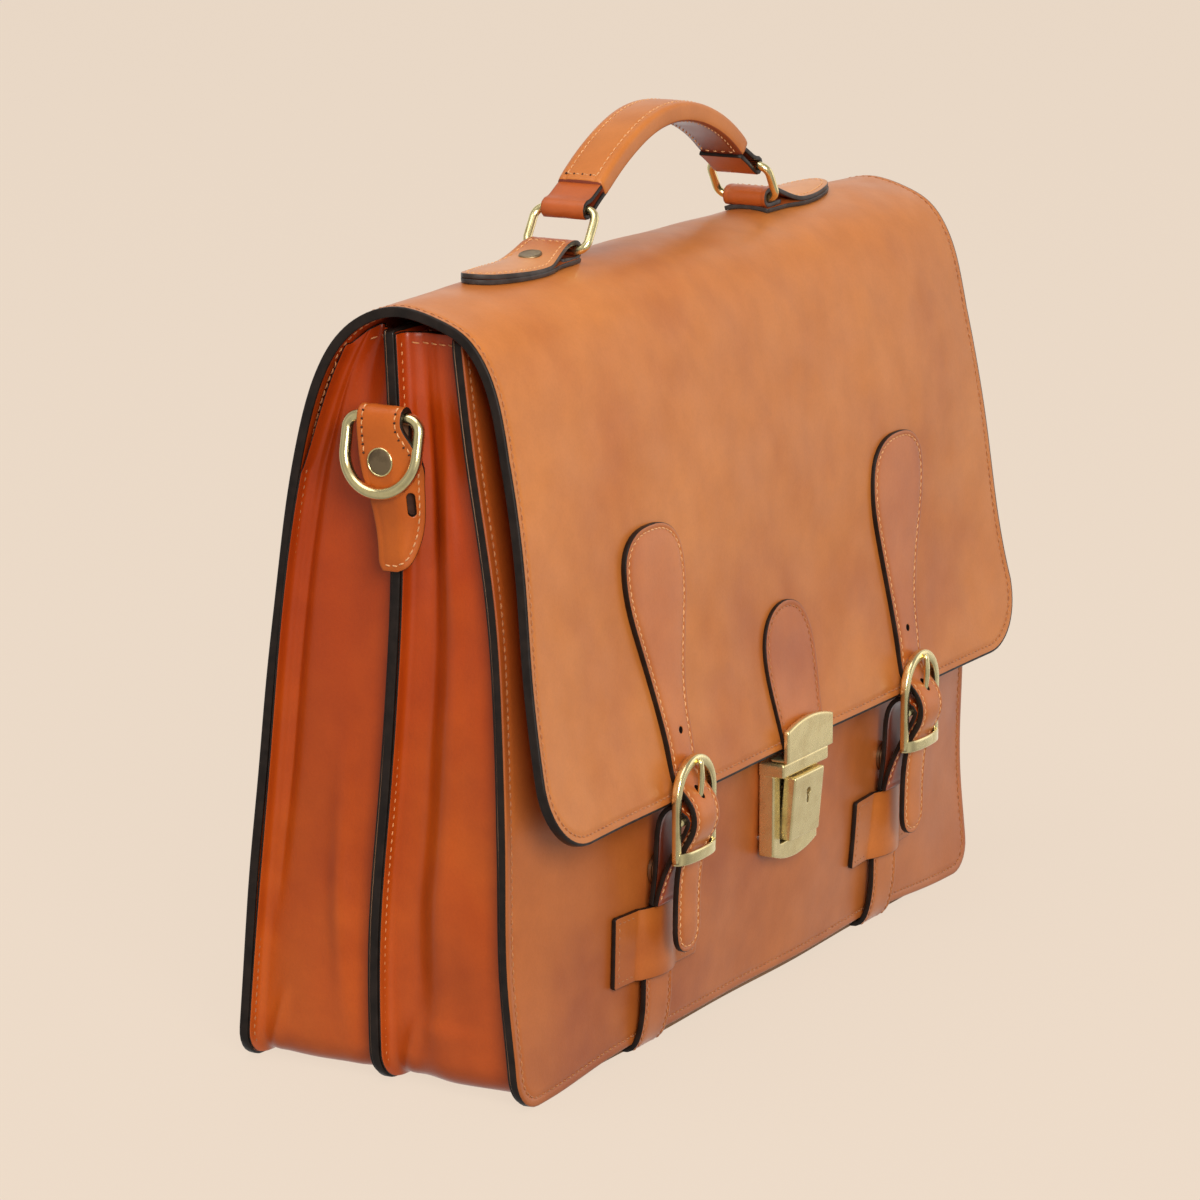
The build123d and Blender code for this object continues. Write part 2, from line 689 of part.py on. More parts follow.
with BuildPart() as handle_core:
    with BuildSketch(HANDLE_PLANE):
        ribbon(HANDLE_LINE, -HANDLE_SKIN - GLUE, -HANDLE_SKIN - HANDLE_CORE)
        with Locations((0, 340)):
            Rectangle(2 * CORE_HALF, 60, mode=Mode.INTERSECT)
    extrude(amount=HANDLE_WIDTH / 2 - 3.0, both=True)

with BuildPart() as handle_lining:
    with BuildSketch(HANDLE_PLANE):
        ribbon(HANDLE_LINE, -HANDLE_SKIN - HANDLE_CORE - GLUE, -HANDLE_SKIN - HANDLE_CORE - HANDLE_LINING)
        with Locations((0, 340)):
            Rectangle(2 * CORE_HALF, 60, mode=Mode.INTERSECT)
    extrude(amount=HANDLE_WIDTH / 2, both=True)


def handle_ring(name):
    s = SIDES[name]
    low = Vector(s * RING_LOW[0], 0, RING_LOW[1])
    high = Vector(s * RING_HIGH[0], 0, RING_HIGH[1])
    lean = high - low
    start = Vector(low.X, y_at(HANDLE_F), low.Z)
    half = RING_INSIDE / 2 + RING_WIRE
    return wire_ring(start, lean, half, lean.length, RING_BEND, RING_BEND, RING_WIRE)


# half width of the anchor tongue at distances from the middle of the case
ANCHOR_TIP = 152.7
ANCHOR_WIDTHS = [(149, 6.0), (138, 9.8), (122, 12.6), (105, 13.4), (92, 11.8), (83, 10.3)]
ANCHOR_LOW = 310.5


def handle_anchor(name):
    s = SIDES[name]
    hole = (s * RING_LOW[0], RING_LOW[1])
    with BuildPart() as anchor:
        with BuildSketch(HANDLE_PLANE):
            with BuildLine():
                rise = Spline((s * 110, 315.6), (s * 97, 316.6), (s * 88, 318.3), (s * RING_LOW[0], RING_LOW[1] + 4.1),
                              tangents=[(-s, 0), (-s, 0)])
                Polyline(rise @ 1, hole, (hole[0], ANCHOR_LOW), (s * (ANCHOR_TIP + 5), ANCHOR_LOW),
                         (s * (ANCHOR_TIP + 5), 315.6), rise @ 0)
            make_face()
            with Locations(hole):
                Circle(LOOP_HOLE + LOOP_SKIN)
                Circle(LOOP_HOLE, mode=Mode.SUBTRACT)
        extrude(amount=20, both=True)
        with BuildSketch(Plane.XY.offset(305)):
            with BuildLine():
                mid = y_at(HANDLE_F)
                near = [(s * x, mid - w) for x, w in ANCHOR_WIDTHS]
                far = [(s * x, mid + w) for x, w in reversed(ANCHOR_WIDTHS)]
                a = Spline((s * ANCHOR_TIP, mid), *near, tangents=[(0, -1), (-s, 0.12)])
                b = Spline(*far, (s * ANCHOR_TIP, mid), tangents=[(s, 0.12), (0, -1)])
                Polyline(a @ 1, (s * 76, mid - 10.3), (s * 76, mid + 10.3), b @ 0)
            make_face()
        extrude(amount=20, mode=Mode.INTERSECT)
        with BuildSketch(Plane.XY.offset(305)):
            with Locations((s * ANCHOR_RIVET_X, y_at(HANDLE_F))):
                Circle(1.85)
        extrude(amount=20, mode=Mode.SUBTRACT)
    return anchor.part


RIVET_TOP = 316.9

with BuildPart() as anchor_rivets:
    spots = [(-ANCHOR_RIVET_X, y_at(HANDLE_F)), (ANCHOR_RIVET_X, y_at(HANDLE_F))]
    with BuildSketch(Plane.XY.offset(302.9)):
        with Locations(*spots):
            Circle(1.75)
    extrude(amount=RIVET_TOP - 302.9)
    with BuildSketch(Plane.XY.offset(RIVET_TOP - 0.2)):
        with Locations(*spots):
            Circle(4.6)
    extrude(amount=1.0)
    with BuildSketch(Plane.XY.offset(302.6)):
        with Locations(*spots):
            Circle(4.2)
    extrude(amount=0.9)


# ------------------------------------------------------- side tabs and D-rings
TAB_SKIN = 2.2
TAIL_LOW = 207.5
TAB_RIVET_Z = 250.0


def side_tab(name):
    s = SIDES[name]
    bar = (s * D_BAR[0], D_BAR[1])
    face = s * (HALF + 0.2)
    front = s * (D_BAR[0] + 2.45)
    tab_plane = Plane.XZ.offset(TAB_F - DEPTH_MID)
    with BuildPart() as tab:
        with BuildSketch(tab_plane):
            # fold round the ring bar, the leather behind it and the layer in front
            with Locations(bar):
                Circle(2.45 + TAB_SKIN)
            with BuildLine():
                Polyline((front, D_BAR[1]), (front + s * TAB_SKIN, D_BAR[1]),
                         (front + s * TAB_SKIN, 241), (face, 241), (face, D_BAR[1]), close=True)
            make_face()
            with Locations(bar):
                Circle(2.45, mode=Mode.SUBTRACT)
            with BuildLine():
                Polyline((face + s * 1.55, D_BAR[1] - 1), (front, D_BAR[1] - 1), (front, 258),
                         (face + s * 2.4, 258), close=True)
            make_face(mode=Mode.SUBTRACT)
        extrude(amount=TAB_WIDTH / 2, both=True)
        with BuildSketch(Plane.YZ.offset(face)):
            with Locations((y_at(TAB_F), 262)):
                Rectangle(TAB_WIDTH, 26)
            with Locations((y_at(TAB_F), 250)):
                Circle(TAB_WIDTH / 2)
        extrude(amount=s * 30, mode=Mode.INTERSECT)
        # tail over the divider's edge
        with BuildSketch(Plane.YZ.offset(face)):
            with BuildLine():
                mid = y_at(TAB_F)
                Polyline((mid - 9, 246), (mid + 7.5, 246), (mid + 4.2, TAIL_LOW + 4), (mid + 1, TAIL_LOW),
                         (mid - 5, TAIL_LOW), (mid - 8.2, TAIL_LOW + 5), close=True)
            make_face()
        extrude(amount=s * TAB_SKIN)
        with BuildSketch(Plane.YZ.offset(s * 150)):
            with Locations((y_at(TAB_F), TAB_RIVET_Z)):
                Circle(1.55)
        extrude(amount=s * 80, mode=Mode.SUBTRACT)
    return tab.part


with BuildPart() as side_rivets:
    for s in (-1, 1):
        cap = s * (D_BAR[0] + 2.45 + TAB_SKIN)
        with BuildSketch(Plane.YZ.offset(s * (HALF + 0.4))):
            with Locations((y_at(TAB_F), TAB_RIVET_Z)):
                Circle(1.45)
        extrude(amount=cap - s * (HALF + 0.4) + s * 0.5)
        with BuildSketch(Plane.YZ.offset(cap)):
            with Locations((y_at(TAB_F), TAB_RIVET_Z)):
                Circle(5.6)
        extrude(amount=s * 1.3, taper=25)


def d_ring(name):
    s = SIDES[name]
    lean = math.radians(D_LEAN)
    down = Vector(s * math.sin(lean), 0, -math.cos(lean))
    start = Vector(s * D_BAR[0], y_at(TAB_F), D_BAR[1])
    drop = (D_BAR[1] - D_LOW) / math.cos(lean)
    return wire_ring(start, down, D_HALF, drop, D_BEND, D_HALF, D_WIRE)


# ------------------------------------------------------------------------ output
nodes = {
    "back_panel": back_panel.part,
    "middle_divider": middle_divider.part,
    "front_panel": front_panel.part,
    "rear_gusset": rear_gusset.part,
    "front_gusset": front_gusset.part,
    "flap": flap.part,
    "handle_board": handle_board.part,
    "loop_magnets": loop_magnets.part,
    "panel_magnets": panel_magnets.part,
    "lock_tongue": lock_tongue.part,
    "hasp_plate": hasp_plate.part,
    "hasp_rivets": hasp_rivets.part,
    "lock_case": lock_case.part,
    "push_plate": push_plate.part,
    "key_barrel": key_barrel.part,
    "lock_bolt": lock_bolt.part,
    "plate_spring": plate_spring.part,
    "lock_backplate": lock_backplate.part,
    "lock_screws": lock_screws.part,
    "handle_strap": handle_strap.part,
    "handle_core": handle_core.part,
    "handle_lining": handle_lining.part,
    "anchor_rivets": anchor_rivets.part,
    "side_rivets": side_rivets.part,
}
for side in SIDES:
    nodes["racket_strap_" + side] = racket_strap(side)
    nodes["buckle_frame_" + side] = buckle_frame(side)
    nodes["buckle_prong_" + side] = buckle_prong(side)
    nodes["buckle_loop_" + side] = buckle_loop(side)
    nodes["lower_strap_" + side] = lower_strap(side)
    nodes["strap_patch_" + side] = strap_patch(side)
    nodes["handle_ring_" + side] = handle_ring(side)
    nodes["handle_anchor_" + side] = handle_anchor(side)
    nodes["side_tab_" + side] = side_tab(side)
    nodes["d_ring_" + side] = d_ring(side)

for name, solid in nodes.items():
    solid.label = name
    export_step(solid, "parts/" + name + ".step")
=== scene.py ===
import math

import bmesh
import bpy
import numpy as np
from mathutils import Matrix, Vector, geometry

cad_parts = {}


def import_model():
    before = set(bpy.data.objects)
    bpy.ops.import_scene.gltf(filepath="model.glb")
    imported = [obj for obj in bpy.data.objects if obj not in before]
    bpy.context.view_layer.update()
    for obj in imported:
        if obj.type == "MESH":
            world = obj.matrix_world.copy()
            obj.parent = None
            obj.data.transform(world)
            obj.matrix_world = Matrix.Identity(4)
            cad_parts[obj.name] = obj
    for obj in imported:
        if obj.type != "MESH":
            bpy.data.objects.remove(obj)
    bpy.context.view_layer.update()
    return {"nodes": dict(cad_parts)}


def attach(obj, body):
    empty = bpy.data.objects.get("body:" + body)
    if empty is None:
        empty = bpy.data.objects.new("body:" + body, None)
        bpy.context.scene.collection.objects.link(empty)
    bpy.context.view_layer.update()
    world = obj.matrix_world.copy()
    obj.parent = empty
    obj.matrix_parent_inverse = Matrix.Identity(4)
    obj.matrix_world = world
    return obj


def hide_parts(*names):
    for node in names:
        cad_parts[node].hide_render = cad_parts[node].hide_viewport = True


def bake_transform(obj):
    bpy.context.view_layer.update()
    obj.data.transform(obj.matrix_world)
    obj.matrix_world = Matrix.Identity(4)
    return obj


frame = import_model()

# The looks of a leather briefcase. Lengths are millimetres until a mesh is made.
# Points are (x, forward, up): x along the case, forward from the divider's datum
# plane towards the front, and up from the floor.
MM = 0.001
DATUM_Y = 9.5
SIDES = {"left": -1, "right": 1}


def world(points):
    """Model points (x, forward, up) as metres in the row frame."""
    points = np.asarray(points, float)
    return np.stack([points[:, 0], DATUM_Y - points[:, 1], points[:, 2]], axis=1) * MM


# ---------------------------------------------------------------- driving sizes
HALF = 195.0
FLAP_HALF = 203.0
CORNER = 14.0
FLAP_CORNER = 28.0
PANEL_SKIN = 3.9
FLAP_SKIN = 4.0
DIVIDER_SKIN = 3.6
GUSSET_SKIN = 1.2
GUSSET_WALL = 188.0
GUSSET_BASE = 1.8
STRAP_X = 101.0
HANDLE_F = 10.0
TAB_F = 3.6
FRONT_TOP = 297.0
FINE = (3.0, 2.2, 0.28)  # pitch, length and radius of the straps' stitches

BACK_LINE = [(-71.3, 0), (-66.6, 55), (-59.3, 122), (-52.2, 187), (-40.7, 250), (-29, 283), (-18, 298.4)]
FLAP_LINE = [(-8, 305.6), (8, 310.2), (27.6, 307), (38.7, 302), (49.7, 289), (57.1, 267.4), (61.6, 245),
             (65.6, 215), (69.4, 169.5), (73.4, 139), (80, 105)]
DIVIDER_LINE = [(-5.9, 0), (-6, 63), (-1.5, 112), (2.8, 160), (5.2, 199), (4.4, 276), (3.2, 299)]
# front panel: height, forward distance of its ends, bow of its middle
FRONT_LEVELS = np.array([(0, 61.5, 0.5), (16, 60.4, 3.5), (48, 57.7, 10), (95, 57.3, 12.2),
                         (150, 54.2, 12.3), (204, 49.1, 9), (249, 41.4, 5), (294, 34.6, 2)], float)
BOW_POWER = 2.2
STRAP_LINE = [(67.2, 215), (70.8, 169.5), (74.8, 139), (77.6, 124), (80.4, 113), (84.2, 108.5),
              (87.6, 104.2), (88.9, 99.5), (87.8, 93), (84.2, 86.5), (82.4, 81), (81.2, 73), (80.6, 60),
              (80.6, 42.6)]
BAR = (83.7, 98.0)          # the buckle's bar, as (forward, up)
BUCKLE_LOOP = [(69.7, 61.9), (71, 72), (71.9, 84), (72.6, 94), (75.2, 100.6), (79.4, 103.3), (83.6, 100.9),
               (86.4, 98.6), (86.0, 96.2), (83.6, 91.4), (79.4, 83.6), (75.6, 75), (73.2, 68), (71.8, 61.9)]
LOWER_LINE = [(68.2, 60.8), (68, 46), (67.2, 32), (66.9, 20), (65.4, 10), (63.3, 4.4), (60.8, 1.9),
              (56, 1.45), (40, 1.45), (22, 1.45), (4, 1.45)]
HANDLE_LINE = [(-66, 337), (-50, 347.5), (-33, 356), (-16, 361.6), (0, 363.5), (16, 362.3), (33, 357.8),
               (50, 350), (66, 338.8)]


# ------------------------------------------------------------------ smooth lines
def unit(rows):
    """Vectors at length 1, one in each row."""
    return rows / np.linalg.norm(rows, axis=1)[:, None]


def spline(knots, values, where):
    """A natural cubic spline through the values at the knots, read at `where`."""
    knots = np.asarray(knots, float)
    values = np.asarray(values, float)
    count = len(knots)
    gap = np.diff(knots)
    system = np.eye(count)
    right = np.zeros(count)
    for i in range(1, count - 1):
        system[i, i - 1:i + 2] = gap[i - 1], 2 * (gap[i - 1] + gap[i]), gap[i]
        right[i] = 6 * ((values[i + 1] - values[i]) / gap[i] - (values[i] - values[i - 1]) / gap[i - 1])
    bend = np.linalg.solve(system, right)
    i = np.clip(np.searchsorted(knots, where) - 1, 0, count - 2)
    left = where - knots[i]
    rest = knots[i + 1] - where
    curved = (bend[i] * rest ** 3 + bend[i + 1] * left ** 3) / (6 * gap[i])
    straight = (values[i] / gap[i] - bend[i] * gap[i] / 6) * rest
    return curved + straight + (values[i + 1] / gap[i] - bend[i + 1] * gap[i] / 6) * left


class Profile:
    """A smooth plane line, read by its length. Heights are to its left."""

    def __init__(self, points, count=900):
        points = np.array(points, float)
        chord = np.concatenate([[0], np.cumsum(np.hypot(*np.diff(points, axis=0).T))])
        where = np.linspace(0, chord[-1], count)
        self.a = spline(chord, points[:, 0], where)
        self.b = spline(chord, points[:, 1], where)
        self.s = np.concatenate([[0], np.cumsum(np.hypot(np.diff(self.a), np.diff(self.b)))])
        self.length = self.s[-1]
        along_a, along_b = np.gradient(self.a, self.s), np.gradient(self.b, self.s)
        size = np.hypot(along_a, along_b)
        self.ta, self.tb = along_a / size, along_b / size

    def at(self, s, h=0.0):
        inside = np.clip(s, 0, self.length)
        over = s - inside
        ta, tb = np.interp(inside, self.s, self.ta), np.interp(inside, self.s, self.tb)
        a = np.interp(inside, self.s, self.a) + over * ta - h * tb
        return a, np.interp(inside, self.s, self.b) + over * tb + h * ta

    def where(self, b):
        """Length at which a line that keeps rising, or keeps falling, reaches b."""
        if self.b[-1] > self.b[0]:
            return np.interp(b, self.b, self.s)
        return np.interp(-np.asarray(b, float), -self.b, self.s)


def ripples(seed, wave):
    """A smooth uneven field of two variables, about -1 to 1, from a few random waves."""
    count = 7
    random = np.random.default_rng(seed)
    turn = random.uniform(0, math.pi, count)
    size = 2 * math.pi / (wave * random.uniform(0.6, 1.7, count))
    shift = random.uniform(0, 2 * math.pi, count)

    def field(u, v):
        u, v = np.broadcast_arrays(np.asarray(u, float), np.asarray(v, float))
        total = np.zeros(u.shape)
        for t, k, p in zip(turn, size, shift):
            total += np.sin(k * (u * math.cos(t) + v * math.sin(t)) + p)
        return total / math.sqrt(count)

    return field


# ---------------------------------------------------------------------- outlines
def turned(outline):
    """The closed outline, turning left."""
    u, v = outline.T
    area = np.sum(u * np.roll(v, -1) - v * np.roll(u, -1))
    return outline if area > 0 else outline[::-1]


def rounded(corners, step=3.0):
    """A closed outline through (u, v, radius) corners."""
    parts = []
    for i, (u, v, radius) in enumerate(corners):
        here = np.array([u, v], float)
        to_last = np.array(corners[i - 1][:2]) - here
        to_next = np.array(corners[(i + 1) % len(corners)][:2]) - here
        to_last, to_next = to_last / np.linalg.norm(to_last), to_next / np.linalg.norm(to_next)
        if radius <= 0:
            parts.append([here])
            continue
        half = math.acos(np.clip(to_last @ to_next, -1, 1)) / 2
        middle = to_last + to_next
        centre = here + middle / np.linalg.norm(middle) * radius / math.sin(half)
        start = here + to_last * radius / math.tan(half) - centre
        end = here + to_next * radius / math.tan(half) - centre
        first = math.atan2(start[1], start[0])
        sweep_angle = (math.atan2(end[1], end[0]) - first + math.pi) % (2 * math.pi) - math.pi
        count = max(5, int(abs(sweep_angle) * radius / (0.6 * step)))
        turns = first + sweep_angle * np.linspace(0, 1, count)
        parts.append(list(centre + radius * np.stack([np.cos(turns), np.sin(turns)], 1)))
    outline = []
    for part, following in zip(parts, parts[1:] + parts[:1]):
        outline.extend(part)
        gap = np.array(following[0]) - part[-1]
        count = int(np.linalg.norm(gap) / step)
        outline.extend(part[-1] + gap * k / count for k in range(1, count))
    return turned(np.array(outline))


def oblong(x, half, low, high, radius, step, top=None):
    """A rounded rectangle about x. Its upper corners take the radius `top` if it is given."""
    top = radius if top is None else top
    return rounded([(x - half, low, radius), (x + half, low, radius), (x + half, high, top),
                    (x - half, high, top)], step)


def slot(x, low, high, half):
    """A round-ended slot along v."""
    return oblong(x, half, low, high, 0.96 * half, 1.0)


def smooth_outline(stretches, step=1.5):
    """A closed outline made of smooth stretches. Each stretch is a list of points."""
    outline = []
    for stretch in stretches:
        stretch = np.array(stretch, float)
        if len(stretch) == 2:
            knots, u, v = [0, 1], stretch[:, 0], stretch[:, 1]
            count = max(2, int(np.linalg.norm(stretch[1] - stretch[0]) / step))
            where = np.linspace(0, 1, count, endpoint=False)
            outline.append(np.stack([np.interp(where, knots, u), np.interp(where, knots, v)], 1))
            continue
        knots = np.concatenate([[0], np.cumsum(np.hypot(*np.diff(stretch, axis=0).T))])
        where = np.linspace(0, knots[-1], max(3, int(knots[-1] / step)), endpoint=False)
        outline.append(np.stack([spline(knots, axis, where) for axis in stretch.T], 1))
    return turned(np.concatenate(outline))


def arc_points(u, v, radius, first, last, count=9):
    """Points on a circle between two angles in degrees."""
    turns = np.radians(np.linspace(first, last, count))
    return [(u + radius * math.cos(t), v + radius * math.sin(t)) for t in turns]


def distance(points, outline):
    """Distance of each point to a closed outline."""
    a, b = outline, np.roll(outline, -1, 0)
    side = b - a
    size = np.maximum((side ** 2).sum(1), 1e-12)
    result = np.empty(len(points))
    for first in range(0, len(points), 800):
        p = points[first:first + 800, None, :]
        t = np.clip(((p - a) * side).sum(2) / size, 0, 1)
        result[first:first + 800] = np.sqrt((((a + t[:, :, None] * side) - p) ** 2).sum(2).min(1))
    return result


def inside(points, outline):
    """Which points a closed outline holds."""
    a, b = outline, np.roll(outline, -1, 0)
    result = np.zeros(len(points), bool)
    for (au, av), (bu, bv) in zip(a, b):
        if av == bv:
            continue
        crosses = (av > points[:, 1]) != (bv > points[:, 1])
        result ^= crosses & (points[:, 0] < (bu - au) * (points[:, 1] - av) / (bv - av) + au)
    return result


def inward(outline):
    """Mitred inward direction at each point of a left-turning outline."""
    back = outline - np.roll(outline, 1, 0)
    on = np.roll(outline, -1, 0) - outline
    back = unit(back)
    on = unit(on)
    first = np.stack([-back[:, 1], back[:, 0]], 1)
    second = np.stack([-on[:, 1], on[:, 0]], 1)
    return (first + second) / np.maximum(1 + (first * second).sum(1), 0.35)[:, None]


def inset(outline, by):
    """The outline moved inwards, without the points that crowd a corner."""
    moved = outline + by * inward(outline)
    return moved[distance(moved, outline) >= 0.97 * by]


# ------------------------------------------------------------------------ meshes
def make_object(name, points, faces, materials, picks=None, rim=None):
    """An object from model points. `rim` is 1 at a cut edge and falls to 0 away from it."""
    mesh = bpy.data.meshes.new(name)
    mesh.from_pydata(world(points).tolist(), [], faces)
    for material in materials:
        mesh.materials.append(material)
    if picks is not None:
        mesh.polygons.foreach_set("material_index", picks)
    if rim is not None:
        wear_map = mesh.attributes.new("rim", "FLOAT", "POINT")
        wear_map.data.foreach_set("value", np.asarray(rim, np.float32))
    mesh.polygons.foreach_set("use_smooth", [True] * len(mesh.polygons))
    tool = bmesh.new()
    tool.from_mesh(mesh)
    bmesh.ops.recalc_face_normals(tool, faces=tool.faces)
    tool.to_mesh(mesh)
    tool.free()
    obj = bpy.data.objects.new(name, mesh)
    bpy.context.scene.collection.objects.link(obj)
    return obj


def value(size, u, v):
    """A size that is a number, or a function of the place."""
    return size(u, v) if callable(size) else np.full(len(u), float(size))


def triangles(outline, rings, grid, holes):
    """Points and triangles that fill an outline. The outline and the holes keep their points."""
    low, high = outline.min(0), outline.max(0)
    loose = [inset(outline, by) for by in rings]
    for hole in holes:
        loose.append(hole - 0.5 * inward(hole))
    u, v = np.meshgrid(np.arange(low[0] + grid / 2, high[0], grid),
                       np.arange(low[1] + grid / 2, high[1], grid * 0.87))
    u[1::2] += grid / 2
    field = np.stack([u.ravel(), v.ravel()], 1)
    field = field[inside(field, outline)]
    reach = (rings[-1] if rings else 0) + 0.5 * grid
    field = field[distance(field, outline) > reach] if len(field) else field
    loose = np.concatenate(loose + [field]) if loose else field
    loose = loose[inside(loose, outline)]
    for hole in holes:
        loose = loose[~inside(loose, hole) & (distance(loose, hole) > 0.3)]
    fixed = [outline, *holes]
    points = np.concatenate(fixed + [loose])
    edges, first = [], 0
    for ring in fixed:
        edges += [(first + k, first + (k + 1) % len(ring)) for k in range(len(ring))]
        first += len(ring)
    made = geometry.delaunay_2d_cdt([Vector(p) for p in points], edges, [], 1, 1e-5)
    verts = np.array([tuple(p) for p in made[0]])
    place = {}
    for new, olds in enumerate(made[3]):
        for old in olds:
            place[old] = new
    faces = np.array([f for f in made[2] if len(f) == 3])
    middles = verts[faces].mean(1)
    keep = inside(middles, outline)
    for hole in holes:
        keep &= ~inside(middles, hole)
    loops, first = [], 0
    for ring in fixed:
        loops.append([place[first + k] for k in range(len(ring))])
        first += len(ring)
    return verts, faces[keep], loops


WALL_STEPS = 8           # bands round half a turn of an edge
GROOVE_WIDTH = 0.75
CROWN_FALL = 2.5         # how far from the edge a crowned face still rises
RIM_FALL = 2.4           # how far the burnish reaches in from an edge


def sheet(name, surface, outline, low, high, materials, rim=0.8, grid=8.0, groove=None, depth=0.35,
          crown=0.0, holes=(), square=0.45, clean=False, edge_round=None, turned_over=1):
    """A plate cut to an outline. surface(u, v, h) places its points, and its faces lie at low and high.

    Its edge is rounded over `rim`, and is flatter with a low `square`. A stitch groove runs `groove` inside
    the outline, and `crown` raises the face. The materials are the face's, the edge's and the back's. The
    face's goes on over the first `turned_over` bands of the edge, and over all of it on a `clean` piece.
    `edge_round` leaves a flat side between two rounded arrises."""
    base = inset(outline, rim)
    levels = [0.5, 1.2, 4.0 + rim]
    if groove:
        levels += [groove - rim + by for by in (-0.8, 0, 0.8, 2.2)]
    levels = sorted(by for by in levels if by > 0.3)
    widest = 0.42 * min(np.ptp(base[:, 0]), np.ptp(base[:, 1]))
    levels = [by for by in levels if by < widest]
    verts, faces, loops = triangles(base, levels, grid, list(holes))
    u, v = verts.T
    reach = distance(verts, base) + rim
    bottom, top = value(low, u, v), value(high, u, v)
    dip = depth * np.exp(-((reach - groove) / GROOVE_WIDTH) ** 2) if groove else 0
    raised = crown * (1 - np.exp(-np.maximum(reach - (groove or rim), 0) / CROWN_FALL))
    points = [surface(u, v, top - dip + raised), surface(u, v, bottom + 0.6 * dip)]
    count = len(verts)
    all_faces = [tuple(f) for f in faces] + [tuple(count + f[::-1]) for f in faces]
    picks = [0] * len(faces) + [2] * len(faces)
    rims = [np.exp(-reach / RIM_FALL)] * 2
    first = 2 * count
    for loop, sign, width in [(loops[0], 1, rim)] + [(loop, -1, 0.0) for loop in loops[1:]]:
        ring = verts[loop]
        away = -inward(ring) * sign
        ends_low, ends_high = value(low, *ring.T), value(high, *ring.T)
        rows = [list(loop)]
        bend = (ends_high - ends_low) / 2
        flat_side = edge_round is not None
        if flat_side:
            bend = np.minimum(bend, edge_round)
        half_way = WALL_STEPS // 2
        upper, lower = range(1, half_way + 1), range(half_way + (not flat_side), WALL_STEPS)
        for near_top, step in [(True, k) for k in upper] + [(False, k) for k in lower]:
            turn = math.pi * step / WALL_STEPS
            out = width * math.sin(turn) ** square
            rise = math.copysign(abs(math.cos(turn)) ** square, math.cos(turn))
            spot = ring + out * away
            height = ends_high - bend * (1 - rise) if near_top else ends_low + bend * (1 + rise)
            points.append(surface(spot[:, 0], spot[:, 1], height))
            rims.append(np.ones(len(ring)))
            rows.append(list(range(first, first + len(ring))))
            first += len(ring)
        rows.append([count + k for k in loop])
        for band, (near, far) in enumerate(zip(rows, rows[1:])):
            for k in range(len(ring)):
                other = (k + 1) % len(ring)
                all_faces.append((near[k], near[other], far[other], far[k]))
                picks.append(0 if clean or width and band < turned_over else 1)
    return make_object(name, np.concatenate(points), all_faces, materials, picks, np.concatenate(rims))


def grid_solid(name, outer, inner, materials):
    """A closed shell from two grids of points (rows, columns, 3)."""
    rows, columns = outer.shape[:2]
    count = rows * columns
    number = np.arange(count).reshape(rows, columns)
    faces, picks = [], []
    for i in range(rows - 1):
        for j in range(columns - 1):
            square = (number[i, j], number[i, j + 1], number[i + 1, j + 1], number[i + 1, j])
            faces += [square, tuple(count + k for k in square[::-1])]
            picks += [0, 2]
    border = [*number[0, :-1], *number[:-1, -1], *number[-1, :0:-1], *number[:0:-1, 0]]
    for a, b in zip(border, border[1:] + border[:1]):
        faces.append((a, b, count + b, count + a))
        picks.append(1)
    points = np.concatenate([outer.reshape(-1, 3), inner.reshape(-1, 3)])
    return make_object(name, points, [tuple(int(k) for k in f) for f in faces], materials, picks,
                       np.zeros(len(points)))


def sweep(name, path, across, section, materials, closed=False, scale=None, picks=None):
    """Moves a closed section (n, 2) along a path. Its second axis stays close to `across`."""
    path = np.asarray(path, float)
    if closed:
        along = np.roll(path, -1, 0) - np.roll(path, 1, 0)
    else:
        along = np.gradient(path, axis=0)
    along = unit(along)
    across = np.broadcast_to(np.asarray(across, float), path.shape)
    side = np.cross(along, across)
    side = unit(side)
    up = np.cross(side, along)
    scale = np.ones(len(path)) if scale is None else np.asarray(scale)
    section = np.asarray(section, float)
    offset = section[None, :, 0, None] * side[:, None] + section[None, :, 1, None] * up[:, None]
    points = (path[:, None] + offset * scale[:, None, None]).reshape(-1, 3)
    rows, columns = len(path), len(section)
    faces, chosen = [], []
    for i in range(rows if closed else rows - 1):
        below = (i + 1) % rows
        for j in range(columns):
            on = (j + 1) % columns
            faces.append((i * columns + j, i * columns + on, below * columns + on, below * columns + j))
            chosen.append(picks[j] if picks else 0)
    if not closed:
        faces += [tuple(range(columns)), tuple((rows - 1) * columns + k for k in range(columns))]
        chosen += [1 if len(materials) > 1 else 0] * 2
    return make_object(name, points, faces, materials, chosen, np.zeros(len(points)))


def circle(radius, count=20, flat=1.0):
    """A circle's outline, or with `flat` an ellipse's."""
    turns = np.linspace(0, 2 * math.pi, count, endpoint=False)
    return np.stack([radius * np.cos(turns), radius * flat * np.sin(turns)], 1)


